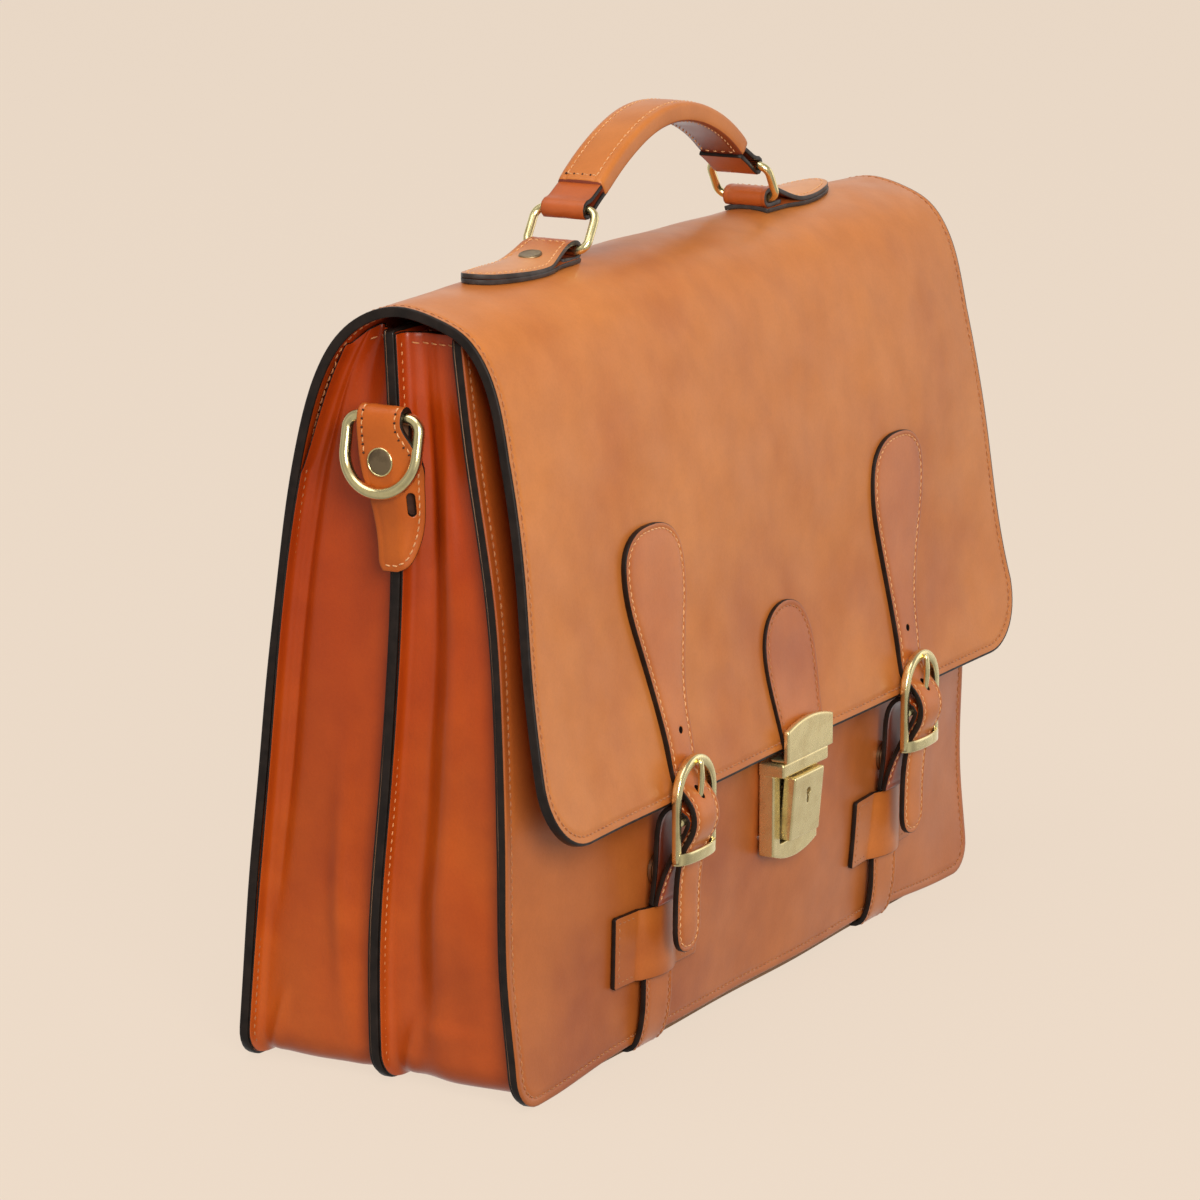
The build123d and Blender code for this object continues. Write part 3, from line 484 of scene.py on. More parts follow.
def lathe(name, centre, axis, profile, material):
    """A turned piece. The profile holds (radius, height) along the axis, from its foot to its top."""
    count = 48
    axis = np.asarray(axis, float) / np.linalg.norm(axis)
    first = np.cross(axis, (0.3, 0.8, 0.52))
    first /= np.linalg.norm(first)
    second = np.cross(axis, first)
    turns = np.linspace(0, 2 * math.pi, count, endpoint=False)[:, None]
    points, faces = [], []
    for radius, height in profile:
        points.append(np.asarray(centre) + axis * height
                      + max(radius, 0.02) * (np.cos(turns) * first + np.sin(turns) * second))
    for i in range(len(profile) - 1):
        for j in range(count):
            on = (j + 1) % count
            faces.append((i * count + j, i * count + on, (i + 1) * count + on, (i + 1) * count + j))
    faces += [tuple(range(count)), tuple((len(profile) - 1) * count + k for k in range(count))]
    return make_object(name, np.concatenate(points), faces, [material], None,
                       np.zeros(len(profile) * count))


class Stitching:
    """Rows of single stitches that end up in one object."""

    SIDES_ROUND = 6
    RINGS = np.array([-1, -0.86, -0.5, 0, 0.5, 0.86, 1])
    SLANT = 0.13
    LIFT, SINK = 0.12, 0.25   # the middle's height over the leather, the ends' depth in it

    def __init__(self):
        self.points, self.faces, self.count = [], [], 0

    def row(self, surface, line, height, pitch=3.3, length=2.5, radius=0.33, closed=True):
        """Stitches along a line of (u, v) points, at a height that is a number or a function."""
        line = np.asarray(line, float)
        if closed:
            line = np.concatenate([line, line[:1]])
        heights = height if callable(height) else (lambda u, v: np.full(len(u), float(height)))
        spots = surface(*line.T, heights(*line.T))
        run = np.concatenate([[0], np.cumsum(np.linalg.norm(np.diff(spots, axis=0), axis=1))])
        count = max(1, int(run[-1] / pitch))
        where = (np.arange(count) + 0.5) * run[-1] / count
        ends = [np.stack([np.interp(where + d, run, line[:, k]) for k in (0, 1)], 1)
                for d in (-length / 2, 0, length / 2)]
        back, middle, front = (surface(*e.T, heights(*e.T)) for e in ends)
        over = surface(*ends[1].T, heights(*ends[1].T) + 0.2)
        along = front - back
        along = unit(along)
        normal = over - middle
        normal -= (normal * along).sum(1)[:, None] * along
        normal = unit(normal)
        side = np.cross(normal, along)
        along, side = along + self.SLANT * side, side - self.SLANT * along
        turns = np.linspace(0, 2 * math.pi, self.SIDES_ROUND, endpoint=False)
        for i in range(len(where)):
            rings = []
            for t in self.RINGS:
                width = radius * math.sqrt(max(0.05, 1 - t ** 4))
                up = self.LIFT - (self.LIFT + self.SINK) * t * t
                core = middle[i] + along[i] * t * length / 2 + normal[i] * up
                round_it = np.cos(turns)[:, None] * side[i] + np.sin(turns)[:, None] * normal[i]
                rings.append(core + width * round_it)
            self.points.append(np.concatenate(rings))
            self.add_faces()
        return self

    def add_faces(self):
        sides, rings, first = self.SIDES_ROUND, len(self.RINGS), self.count
        for r in range(rings - 1):
            for k in range(sides):
                on = (k + 1) % sides
                a, b = first + r * sides, first + (r + 1) * sides
                self.faces.append((a + k, a + on, b + on, b + k))
        self.faces.append(tuple(first + k for k in range(sides)))
        self.faces.append(tuple(first + (rings - 1) * sides + k for k in range(sides)))
        self.count += sides * rings

    def worn(self, name, material, body, slot="thread"):
        """All rows as one object on its body."""
        return wear(make_object(name, np.concatenate(self.points), self.faces, [material]), body, slot)


def wear(obj, body, slot, *nodes):
    """Attaches a finished piece to the body it rides on and hides the CAD nodes that it stands for. Its slot
    is not used.
    """
    if isinstance(body, str):
        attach(obj, body)
    if nodes:
        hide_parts(*nodes)
    return obj


# --------------------------------------------------------------------- materials
def shader(name, base, roughness, metallic=0.0, coat=0.0):
    """A new material, its node tree and its Principled shader."""
    material = bpy.data.materials.new(name)
    material.use_nodes = True
    tree = material.node_tree
    body = tree.nodes["Principled BSDF"]
    body.inputs["Base Color"].default_value = (*base, 1)
    body.inputs["Roughness"].default_value = roughness
    body.inputs["Metallic"].default_value = metallic
    body.inputs["Coat Weight"].default_value = coat
    body.inputs["Coat Roughness"].default_value = 0.25
    return material, tree, body


def noise(tree, scale, detail=3.0, rough=0.55, stretch=None):
    """A noise texture in the row frame, with its scale in waves per metre."""
    place = tree.nodes.new("ShaderNodeTexCoord").outputs["Object"]
    if stretch:
        mapping = tree.nodes.new("ShaderNodeMapping")
        mapping.inputs["Scale"].default_value = stretch
        tree.links.new(place, mapping.inputs["Vector"])
        place = mapping.outputs["Vector"]
    texture = tree.nodes.new("ShaderNodeTexNoise")
    texture.inputs["Scale"].default_value = scale
    texture.inputs["Detail"].default_value = detail
    texture.inputs["Roughness"].default_value = rough
    tree.links.new(place, texture.inputs["Vector"])
    return texture.outputs["Fac"]


def ramp(tree, factor, stops):
    """A colour ramp with (place, colour) stops."""
    node = tree.nodes.new("ShaderNodeValToRGB")
    tree.links.new(factor, node.inputs["Fac"])
    elements = node.color_ramp.elements
    while len(elements) < len(stops):
        elements.new(0.5)
    for element, (where, colour) in zip(elements, stops):
        element.position = where
        element.color = (*colour, 1)
    return node.outputs["Color"]


def span(tree, factor, low, high, start=0.3, end=0.7):
    """Maps a texture's middle range to low..high."""
    node = tree.nodes.new("ShaderNodeMapRange")
    node.inputs["From Min"].default_value = start
    node.inputs["From Max"].default_value = end
    node.inputs["To Min"].default_value = low
    node.inputs["To Max"].default_value = high
    tree.links.new(factor, node.inputs["Value"])
    return node.outputs["Result"]


def mixed(tree, factor, first, second, blend="MIX"):
    node = tree.nodes.new("ShaderNodeMix")
    node.data_type = "RGBA"
    node.blend_type = blend
    sockets = {s.identifier: s for s in node.inputs}
    for key, source in (("Factor_Float", factor), ("A_Color", first), ("B_Color", second)):
        if isinstance(source, (int, float)):
            sockets[key].default_value = source
        elif isinstance(source, tuple):
            sockets[key].default_value = (*source, 1)
        else:
            tree.links.new(source, sockets[key])
    return next(s for s in node.outputs if s.identifier == "Result_Color")


def add_bump(tree, body, layers):
    """Stacks bump layers, each (height, strength, distance in metres)."""
    normal = None
    for height, strength, reach in layers:
        node = tree.nodes.new("ShaderNodeBump")
        node.inputs["Strength"].default_value = strength
        node.inputs["Distance"].default_value = reach
        tree.links.new(height, node.inputs["Height"])
        if normal is not None:
            tree.links.new(normal, node.inputs["Normal"])
        normal = node.outputs["Normal"]
    tree.links.new(normal, body.inputs["Normal"])


def pores(tree, scale):
    place = tree.nodes.new("ShaderNodeTexCoord").outputs["Object"]
    cells = tree.nodes.new("ShaderNodeTexVoronoi")
    cells.feature = "SMOOTH_F1"
    cells.inputs["Scale"].default_value = scale
    cells.inputs["Smoothness"].default_value = 0.7
    tree.links.new(place, cells.inputs["Vector"])
    return cells.outputs["Distance"]


RIM_BURNISH = 0.3
TONE_REACH = 0.3         # metres over which a leather's painted light and shade change


def leather(name, light, middle, dark, rough=(0.34, 0.46), grain=0.10, coat=0.0, gloss=0.5, tones=None,
            axis="Z"):
    """Smooth aniline leather: cloudy colour, fine pores, a darker burnish towards cut edges.

    tones are (place, colour) pairs of painted light and shade, which darken or lighten the colour along the
    height or, with axis X, out from the middle."""
    material, tree, body = shader(name, middle, 0.4, 0.0, coat)
    body.inputs["Specular IOR Level"].default_value = gloss
    clouds = ramp(tree, noise(tree, 9, 4, 0.6), [(0.32, dark), (0.5, middle), (0.70, light)])
    mottle = ramp(tree, noise(tree, 70, 3), [(0.35, (0.90, 0.88, 0.86)), (0.65, (1.0, 1.0, 1.0))])
    colour = mixed(tree, 0.8, clouds, mottle, "MULTIPLY")
    fine = ramp(tree, noise(tree, 900, 2), [(0.3, (0.93, 0.92, 0.91)), (0.6, (1, 1, 1))])
    colour = mixed(tree, 0.6, colour, fine, "MULTIPLY")
    rim = tree.nodes.new("ShaderNodeAttribute")
    rim.attribute_name = "rim"
    edge = span(tree, rim.outputs["Fac"], 0.0, RIM_BURNISH, 0.1, 1.0)
    burnt = tuple(0.5 * c for c in dark)
    colour = mixed(tree, edge, colour, burnt)
    # Painted light and shade, by height or, with axis X, by distance from the middle.
    if tones:
        place = tree.nodes.new("ShaderNodeSeparateXYZ")
        tree.links.new(tree.nodes.new("ShaderNodeTexCoord").outputs["Object"], place.inputs["Vector"])
        size = tree.nodes.new("ShaderNodeMath")
        size.operation = "ABSOLUTE"
        tree.links.new(place.outputs[axis], size.inputs[0])
        share = span(tree, size.outputs["Value"], 0.0, 1.0, 0.0, TONE_REACH)
        shade = ramp(tree, share, [(at / TONE_REACH, tone) for at, tone in tones])
        colour = mixed(tree, 1.0, colour, shade, "MULTIPLY")
    tree.links.new(colour, body.inputs["Base Color"])
    tree.links.new(span(tree, noise(tree, 45, 4), *rough), body.inputs["Roughness"])
    add_bump(tree, body, [(noise(tree, 28, 3), 0.25, 0.0009), (noise(tree, 420, 3), 0.16, 0.00022),
                          (pores(tree, 1500), grain, 0.00018)])
    return material


def painted_edge(name, base):
    """Dye on a cut edge, a little uneven."""
    material, tree, body = shader(name, base, 0.42)
    body.inputs["Specular IOR Level"].default_value = 0.28
    dark, light = (tuple(share * c for c in base) for share in (0.7, 1.5))
    colour = ramp(tree, noise(tree, 160, 3), [(0.35, dark), (0.68, light)])
    tree.links.new(colour, body.inputs["Base Color"])
    tree.links.new(span(tree, noise(tree, 300, 3), 0.34, 0.55), body.inputs["Roughness"])
    add_bump(tree, body, [(noise(tree, 380, 4), 0.35, 0.00025)])
    return material


def thread(name, light, dark):
    """Waxed thread, twisted."""
    material, tree, body = shader(name, light, 0.6)
    colour = ramp(tree, noise(tree, 600, 2), [(0.35, dark), (0.62, light)])
    tree.links.new(colour, body.inputs["Base Color"])
    body.inputs["Sheen Weight"].default_value = 0.2
    add_bump(tree, body, [(noise(tree, 2600, 2, stretch=(1, 1, 2.2)), 0.5, 0.0001)])
    return material


def brass(name, light, dark, rough=(0.22, 0.36), brush=(1, 1, 14), strength=0.10, metal=1.0):
    """Antique brass, brushed one way, with darker tarnish in patches."""
    material, tree, body = shader(name, light, 0.3, metal)
    tarnish = ramp(tree, noise(tree, 110, 4, 0.6), [(0.30, dark), (0.52, light)])
    tree.links.new(tarnish, body.inputs["Base Color"])
    tree.links.new(span(tree, noise(tree, 260, 3), *rough), body.inputs["Roughness"])
    add_bump(tree, body, [(noise(tree, 420, 3, stretch=brush), strength, 0.00012)])
    return material


TAN = leather("tan_leather", (0.66, 0.226, 0.050), (0.60, 0.193, 0.039), (0.51, 0.142, 0.026), gloss=0.34)
# A darker, redder copy of the tan leather, as painted shade for the sides, the divider and the inner faces.
# Its tones paint it lighter and more orange low down and darker towards the top, as painted shade under the
# flap.
SHADED_LEATHER = leather("shaded_leather", (0.57, 0.098, 0.015), (0.49, 0.070, 0.010), (0.41, 0.050, 0.007),
               (0.28, 0.40), 0.13, gloss=0.42,
               tones=[(0.03, (1.03, 1.22, 0.9)), (0.10, (0.95, 1.02, 0.5)), (0.17, (0.87, 0.76, 0.35)),
                      (0.29, (0.86, 0.64, 0.28))])
STRAP = leather("strap_leather", (0.64, 0.195, 0.038), (0.57, 0.160, 0.028), (0.45, 0.106, 0.016),
                (0.30, 0.40), 0.08, 0.05, gloss=0.4)
LOOP_LEATHER = leather("loop_leather", (0.60, 0.150, 0.030), (0.53, 0.118, 0.022), (0.42, 0.078, 0.013),
                       (0.34, 0.44), 0.08)
LINING = leather("lining_leather", (0.30, 0.060, 0.020), (0.24, 0.040, 0.013), (0.16, 0.022, 0.008),
                 (0.28, 0.42), 0.1, 0.25)
FLESH = leather("flesh_side", (0.36, 0.20, 0.11), (0.31, 0.165, 0.088), (0.25, 0.125, 0.06), (0.75, 0.9), 0.3)
EDGE = painted_edge("painted_edge", (0.013, 0.008, 0.006))
# A greyer edge dye, used on the handle's anchors.
EDGE_GREY = painted_edge("painted_edge_grey", (0.045, 0.038, 0.036))
THREAD = thread("tan_thread", (0.50, 0.190, 0.055), (0.34, 0.105, 0.028))
SIDE_THREAD = thread("orange_thread", (0.78, 0.35, 0.12), (0.58, 0.20, 0.055))
CREAM = thread("pale_thread", (0.80, 0.43, 0.19), (0.62, 0.28, 0.10))
# The front panel's leather: darker than the flap's tan as painted shade under the flap. Its tones paint the
# flap's shadow darker still over the panel above 12 cm.
FRONT_SHADED_TAN = leather("front_leather", (0.57, 0.165, 0.034), (0.51, 0.138, 0.026), (0.39, 0.086, 0.014),
                    coat=0.04, tones=[(0.12, (1.0, 1.0, 1.0)), (0.18, (0.84, 0.64, 0.45))])
# Near black: painted shade inside the needle holes and in the side tabs' slots.
HOLE_SHADE = painted_edge("painted_hole_shade", (0.05, 0.018, 0.01))
BRASS = brass("antique_brass", (0.92, 0.80, 0.43), (0.80, 0.65, 0.32), (0.18, 0.28), (1, 1, 14), 0.015)
BRASS_LOCK = brass("lock_brass", (0.90, 0.75, 0.39), (0.78, 0.62, 0.30), (0.22, 0.32), (1, 1, 0.07), 0.004,
                   metal=0.88)
BRASS_DARK = brass("tarnished_brass", (0.30, 0.22, 0.13), (0.16, 0.11, 0.07), (0.35, 0.5))
STEEL = brass("plain_steel", (0.52, 0.51, 0.49), (0.36, 0.35, 0.34), (0.3, 0.45))
TAB_TAN = leather("tab_leather", (0.61, 0.150, 0.018), (0.54, 0.118, 0.013), (0.44, 0.080, 0.008), gloss=0.35)
# The anchors' loops: a paler tan as painted sheen. Its tones paint shade where each loop rises round its
# ring, and a paler, bluer painted sheen on its flat tail.
ANCHOR_SHADE_AND_SHEEN = leather("anchor_leather", (0.76, 0.30, 0.088), (0.68, 0.255, 0.075), (0.58, 0.20, 0.052),
                     tones=[(0.082, (0.72, 0.42, 0.25)), (0.102, (1.05, 1.12, 1.2))], axis="X")
BOARD = leather("fibre_board", (0.33, 0.24, 0.16), (0.27, 0.19, 0.12), (0.2, 0.14, 0.09), (0.8, 0.95), 0.3)
STRAP_FACES = [STRAP, EDGE, FLESH]


# -------------------------------------------------------------------- the panels
def flat_stack(x, pair):
    """Points from x and a (forward, up) pair."""
    first, second = pair
    return np.stack([np.broadcast_to(x, first.shape), first, second], 1)


def below(surface):
    """The same surface with its heights turned over, for stitches on the back."""
    return lambda u, v, h: surface(u, v, -np.asarray(h, float))


def proud(base, outward):
    """A surface with heights measured along the normal of base(u, v), on its `outward` side."""
    step = 0.4

    def surface(u, v, h):
        across = base(u + step, v) - base(u - step, v)
        along = base(u, v + step) - base(u, v - step)
        normal = np.cross(across, along)
        normal = unit(normal)
        normal *= np.sign(normal @ np.asarray(outward, float))[:, None]
        return base(u, v) + normal * np.reshape(h, (-1, 1))

    return surface


SHELL = Profile(BACK_LINE + FLAP_LINE, 1600)
HINGE_S = SHELL.s[np.argmin(np.hypot(SHELL.a - BACK_LINE[-1][0], SHELL.b - BACK_LINE[-1][1]))]
SHELL_WAVES = ripples(11, 190)
SMALL_WAVES = ripples(5, 70)


def shell_surface(x, s, h):
    """The leather's outside. Its two ends turn in at the back and the top, and curl out lower down."""
    uneven = 0.55 * SHELL_WAVES(x, s) + 0.16 * SMALL_WAVES(x, s)
    ends = np.interp(s, END_S, END_CURL) * np.minimum(np.abs(x) / FLAP_HALF, 1.03) ** 4
    return flat_stack(x, SHELL.at(s, h + uneven + ends))


def shell_skin(x, s):
    """Thickness of the shell, which changes over the bend at the top of the back."""
    return np.interp(s, [HINGE_S - 30, HINGE_S + 30], [PANEL_SKIN, FLAP_SKIN])


def flap_s(z):
    """Length along the shell at which the front of the flap is z high."""
    front = SHELL.s > HINGE_S + 60
    return np.interp(-np.asarray(z, float), -SHELL.b[front], SHELL.s[front])


END_S = [0, 60, 280, HINGE_S, HINGE_S + 30, *flap_s([290, 255, 205, 165, 133]), SHELL.length]
END_CURL = [-0.8, -1.3, -1.3, -1.6, -1.2, -2.4, -2.8, -0.4, 1.2, 2.6, 3.0]


def on_flap(points):
    """(x, up) points as (x, length) on the flap."""
    points = np.asarray(points, float)
    return turned(np.stack([points[:, 0], flap_s(points[:, 1])], 1))


DIVIDER = Profile(DIVIDER_LINE)
DIVIDER_WAVES = ripples(21, 160)


def divider_surface(x, s, h):
    return flat_stack(x, DIVIDER.at(s, h + 0.3 * DIVIDER_WAVES(x, s)))


FRONT_WAVES = ripples(31, 130)


def front_depth(x, z):
    level = np.clip(z, 0, 294)
    ends = spline(FRONT_LEVELS[:, 0], FRONT_LEVELS[:, 1], level)
    bow = spline(FRONT_LEVELS[:, 0], FRONT_LEVELS[:, 2], level)
    return ends + bow * (1 - np.abs(np.clip(x, -HALF, HALF) / HALF) ** BOW_POWER) + 0.6 * FRONT_WAVES(x, z)


front_surface = proud(lambda x, z: np.stack([x, front_depth(x, z), z], 1), (0, 1, 0))

PANEL_STITCH = 3.7
SUNK = 0.2               # how deep the panels' stitches lie in the leather
FLANGE = 1.2             # the gusset's turned-out margin, sewn to the panel
FRONT_HALF = 200.0


def flipped(points):
    """(u, v) points mirrored in u, in the other order."""
    return [(-u, v) for u, v in points[::-1]]


def make_panels():
    widths = [(HALF, CORNER), (HALF, 60), (HALF, HINGE_S - 60), (198.5, HINGE_S), (198.0, flap_s(262)),
              (201.5, flap_s(205)), (206.0, flap_s(145))]
    corner = arc_points(207.2 - FLAP_CORNER, SHELL.length - FLAP_CORNER, FLAP_CORNER, 0, 90)
    side = widths + corner[:1]
    edge = smooth_outline([arc_points(HALF - CORNER, CORNER, CORNER, 270, 360), side, corner,
                           [corner[-1], (-corner[-1][0], corner[-1][1])], flipped(corner), flipped(side),
                           arc_points(CORNER - HALF, CORNER, CORNER, 180, 270),
                           [(CORNER - HALF, 0), (HALF - CORNER, 0)]], 3.0)
    skin = sheet("shell_leather", shell_surface, edge, lambda x, s: -shell_skin(x, s), 0.0,
                 [TAN, EDGE, SHADED_LEATHER], rim=1.1, grid=7.0, groove=PANEL_STITCH, depth=0.4, turned_over=0)
    wear(skin, None, "leather_body", "back_panel", "flap")
    line = inset(edge, PANEL_STITCH)
    sewn = Stitching().row(shell_surface, line, -SUNK)
    sewn.row(below(shell_surface), line, lambda x, s: shell_skin(x, s) - SUNK + FLANGE * (s < HINGE_S - 14))
    for obj in (skin, sewn.worn("shell_stitches", THREAD, None)):
        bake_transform(obj)

    edge = oblong(0, HALF, 0, DIVIDER.length, CORNER, 3.0, top=2)
    half_skin = DIVIDER_SKIN / 2
    divider = sheet("divider_leather", divider_surface, edge, -half_skin, half_skin, [SHADED_LEATHER, EDGE, SHADED_LEATHER],
                    rim=1.2, grid=9.0, groove=PANEL_STITCH, turned_over=0)
    wear(divider, "case", "leather_body", "middle_divider")
    line = inset(edge, PANEL_STITCH)
    sewn = Stitching().row(divider_surface, line, half_skin + FLANGE - SUNK)
    sewn.row(below(divider_surface), line, half_skin + FLANGE - SUNK)
    sewn.worn("divider_stitches", SIDE_THREAD, "case")

    top, low = HALF - 1.5, FRONT_HALF
    rise = [(CORNER - low, 0), (-170, 0.3), (-124, 3.4), (-60, 4.0)]
    side = [(low, CORNER), (low, 110), (HALF, 230), (top, FRONT_TOP)]
    edge = smooth_outline([flipped(side), arc_points(CORNER - low, CORNER, CORNER, 180, 270),
                           rise + [(0, 4.1)] + flipped(rise),
                           arc_points(low - CORNER, CORNER, CORNER, 270, 360), side,
                           [(top, FRONT_TOP), (-top, FRONT_TOP)]], 3.0)
    panel = sheet("front_leather", front_surface, edge, -PANEL_SKIN, 0.0, [FRONT_SHADED_TAN, EDGE, SHADED_LEATHER], rim=1.1,
                  groove=PANEL_STITCH, depth=0.4, turned_over=3)
    wear(panel, "case", "leather_body", "front_panel")
    line = inset(edge, PANEL_STITCH)
    sewn = Stitching().row(front_surface, line, -SUNK)
    sewn.row(below(front_surface), line, PANEL_SKIN + FLANGE - SUNK)
    sewn.worn("front_stitches", THREAD, "case")


# ------------------------------------------------------------------- the gussets
GUSSET_FLARE = 3.2       # radius of the bend between the wall and its margins
SQUEEZE_FROM = 240.0     # height above which a gusset is pressed together under the flap
GUSSET_SPREAD = 5.0      # how much wider the front gusset is at the front panel


def gusset_path(top):
    """(x, up) points round the U of a gusset, and their outward directions."""
    radius = CORNER - GUSSET_BASE
    low, wall = GUSSET_BASE, GUSSET_WALL
    corner = np.linspace(0, math.pi / 2, 14)
    left_side = [(-wall, z) for z in np.linspace(top, low + radius, 76)]
    left_turn = [(-wall + radius * (1 - math.cos(t)), low + radius * (1 - math.sin(t))) for t in corner[1:]]
    base = [(x, low) for x in np.linspace(-wall + radius, 0, 46)[1:]]
    half = left_side + left_turn + base
    points = np.array(half + [(-x, z) for x, z in half[-2::-1]])
    along = np.gradient(points, axis=0)
    along = unit(along)
    outward = np.stack([along[:, 1], -along[:, 0]], 1)
    return points, outward


def face_reader(profile, height):
    """Forward distance of one face of a section at a height above the floor."""
    keep = profile.s < HINGE_S
    f, z = profile.at(profile.s[keep], height)
    return lambda up: np.interp(up, z, f)


BACK_INNER = face_reader(SHELL, -PANEL_SKIN)
DIVIDER_REAR = face_reader(DIVIDER, DIVIDER_SKIN / 2)
DIVIDER_FRONT = face_reader(DIVIDER, -DIVIDER_SKIN / 2)


def back_inner(x, z):
    """The back panel's inner face, with its ends turned in."""
    turned_in = np.interp(z, END_S[:3], END_CURL[:3]) * np.minimum(np.abs(x) / FLAP_HALF, 1.03) ** 4
    return BACK_INNER(z) - turned_in


def ceiling(f):
    """Height of the flap's underside above a forward distance."""
    inner = SHELL.at(SHELL.s, -PANEL_SKIN - 1.0)
    keep = (SHELL.s > HINGE_S - 70) & (SHELL.a < 46)
    return np.interp(f, inner[0][keep], inner[1][keep])


def gusset_columns():
    """Across a gusset: the flange, a bend and the wall.

    Each is (side, kind, share, out, off, inner out, inner off)."""
    flange = [("edge", m, None, FLANGE, None, 0.05) for m in (1.0, 0.66, 0.33)]
    turns = np.linspace(0, math.pi / 2, 6)
    wide = GUSSET_FLARE + FLANGE
    bend = [("edge", 0.0, GUSSET_FLARE * (1 - math.sin(t)), FLANGE + GUSSET_FLARE * (1 - math.cos(t)),
             GUSSET_FLARE - wide * math.sin(t), wide - (wide - 0.05) * math.cos(t)) for t in turns]
    side = flange + bend
    middle = [("wall", t, 0.0, 0.0, -GUSSET_SKIN, 0.0) for t in np.linspace(0, 1, 27)[1:-1]]
    parts = (("rear", side), ("both", middle), ("fore", side[::-1]))
    return [(where, *column) for where, part in parts for column in part]


def gusset(name, top, cap, rear, fore, bulge, spread, material):
    """A U of soft leather between two faces. rear and fore give their forward distance at (x, z)."""
    path, outward = gusset_path(top)
    room = GUSSET_BASE - 0.3 + (HALF - GUSSET_WALL - GUSSET_BASE) * outward[:, 0] ** 2
    flare = np.minimum(GUSSET_FLARE, room - 0.3)
    columns = gusset_columns()
    grids = []
    for face in (0, 2):
        rows = np.zeros((len(path), len(columns), 3))
        for j, (side, kind, share, *sizes) in enumerate(columns):
            out, off = sizes[face], sizes[face + 1]
            if kind == "wall":
                along = share
                full = bulge(path[:, 0], path[:, 1], np.full(len(path), share)) + out
            else:
                along = 0.0 if side == "rear" else 1.0
                full = flare + share * (room - flare) if out is None else np.minimum(out, room)
            full = full + spread(path[:, 1]) * along * outward[:, 0] ** 2
            x = path[:, 0] + outward[:, 0] * full
            z = path[:, 1] + outward[:, 1] * full
            for _ in range(2):
                a, b = rear(x, z), fore(x, z)
                if kind == "wall":
                    f = a + FLANGE + GUSSET_FLARE + share * (b - a - 2 * (FLANGE + GUSSET_FLARE))
                else:
                    f = a + off if side == "rear" else b - off
                height = path[:, 1] + outward[:, 1] * full
                limit = np.minimum(cap, ceiling(f) - 1.2)
                share_up = (height - SQUEEZE_FROM) / (top - SQUEEZE_FROM)
                z = np.where(share_up > 0, SQUEEZE_FROM + share_up * (limit - SQUEEZE_FROM), height)
            rows[:, j] = np.stack([x, f, z], 1)
        grids.append(rows)
    obj = grid_solid(name, grids[0], grids[1], [material, EDGE, FLESH])
    smooth = obj.modifiers.new("smooth", "SUBSURF")
    smooth.levels = smooth.render_levels = 1
    return obj, grids[0]


def round_the_u(x, z):
    """A running length round the U, for folds that follow it."""
    return np.where(z > 26, np.sign(x) * (188 + z), x)


SOFT_A = ripples(41, 85)
SOFT_B = ripples(43, 60)


def pucker(z, t):
    """A short crease low down beside the rear hem."""
    return 1.8 * np.exp(-((t - 0.13 - 0.005 * (z - 16)) / 0.05) ** 2) * np.exp(-((z - 17) / 11) ** 2)


def rear_bulge(x, z, t):
    """How far the rear gusset stands out, with a fold low down and a hollow beside its rear hem."""
    round_off = np.sin(math.pi * t) ** 1.35
    amount = np.interp(z, [0, 6, 30, 75, 150, 225, 294], [0.6, 1.2, 2.6, 3.4, 1.6, -1.4, -4.5])
    run = round_the_u(x, z)
    fold = 2.8 * np.exp(-((t - 0.72 + 0.0016 * (z - 70)) / 0.10) ** 2) * np.exp(-((z - 70) / 45) ** 2)
    beside_hem = -3.2 * np.exp(-(t / 0.10) ** 2) * np.interp(z, [60, 120, 270, 290], [0, 1, 1, 0.3])
    uneven = 1.3 * SOFT_A(run, 60 * t) * np.clip(z / 40, 0.25, 1)
    return round_off * (amount + uneven) + fold + beside_hem + pucker(z, t)


def front_bulge(x, z, t):
    """How far the front gusset stands out, with a valley and a ridge up its middle."""
    round_off = np.sin(math.pi * t) ** 1.35
    amount = np.interp(z, [0, 6, 30, 80, 150, 225, 290], [0.6, 1.2, 2.4, 3.0, 1.8, 0.2, -2.0])
    run = round_the_u(x, z)
    window = np.exp(-(np.maximum(np.abs(z - 150) - 95, 0) / 35) ** 2)
    valley = -3.4 * np.exp(-((t - 0.20) / 0.13) ** 2) * window
    ridge = 1.3 * np.exp(-((t - 0.47 - 0.0007 * (z - 120)) / 0.12) ** 2) * window
    uneven = 1.2 * SOFT_B(run, 50 * t) * np.clip(z / 40, 0.25, 1)
    return round_off * (amount + uneven) + valley + ridge + pucker(z, t)


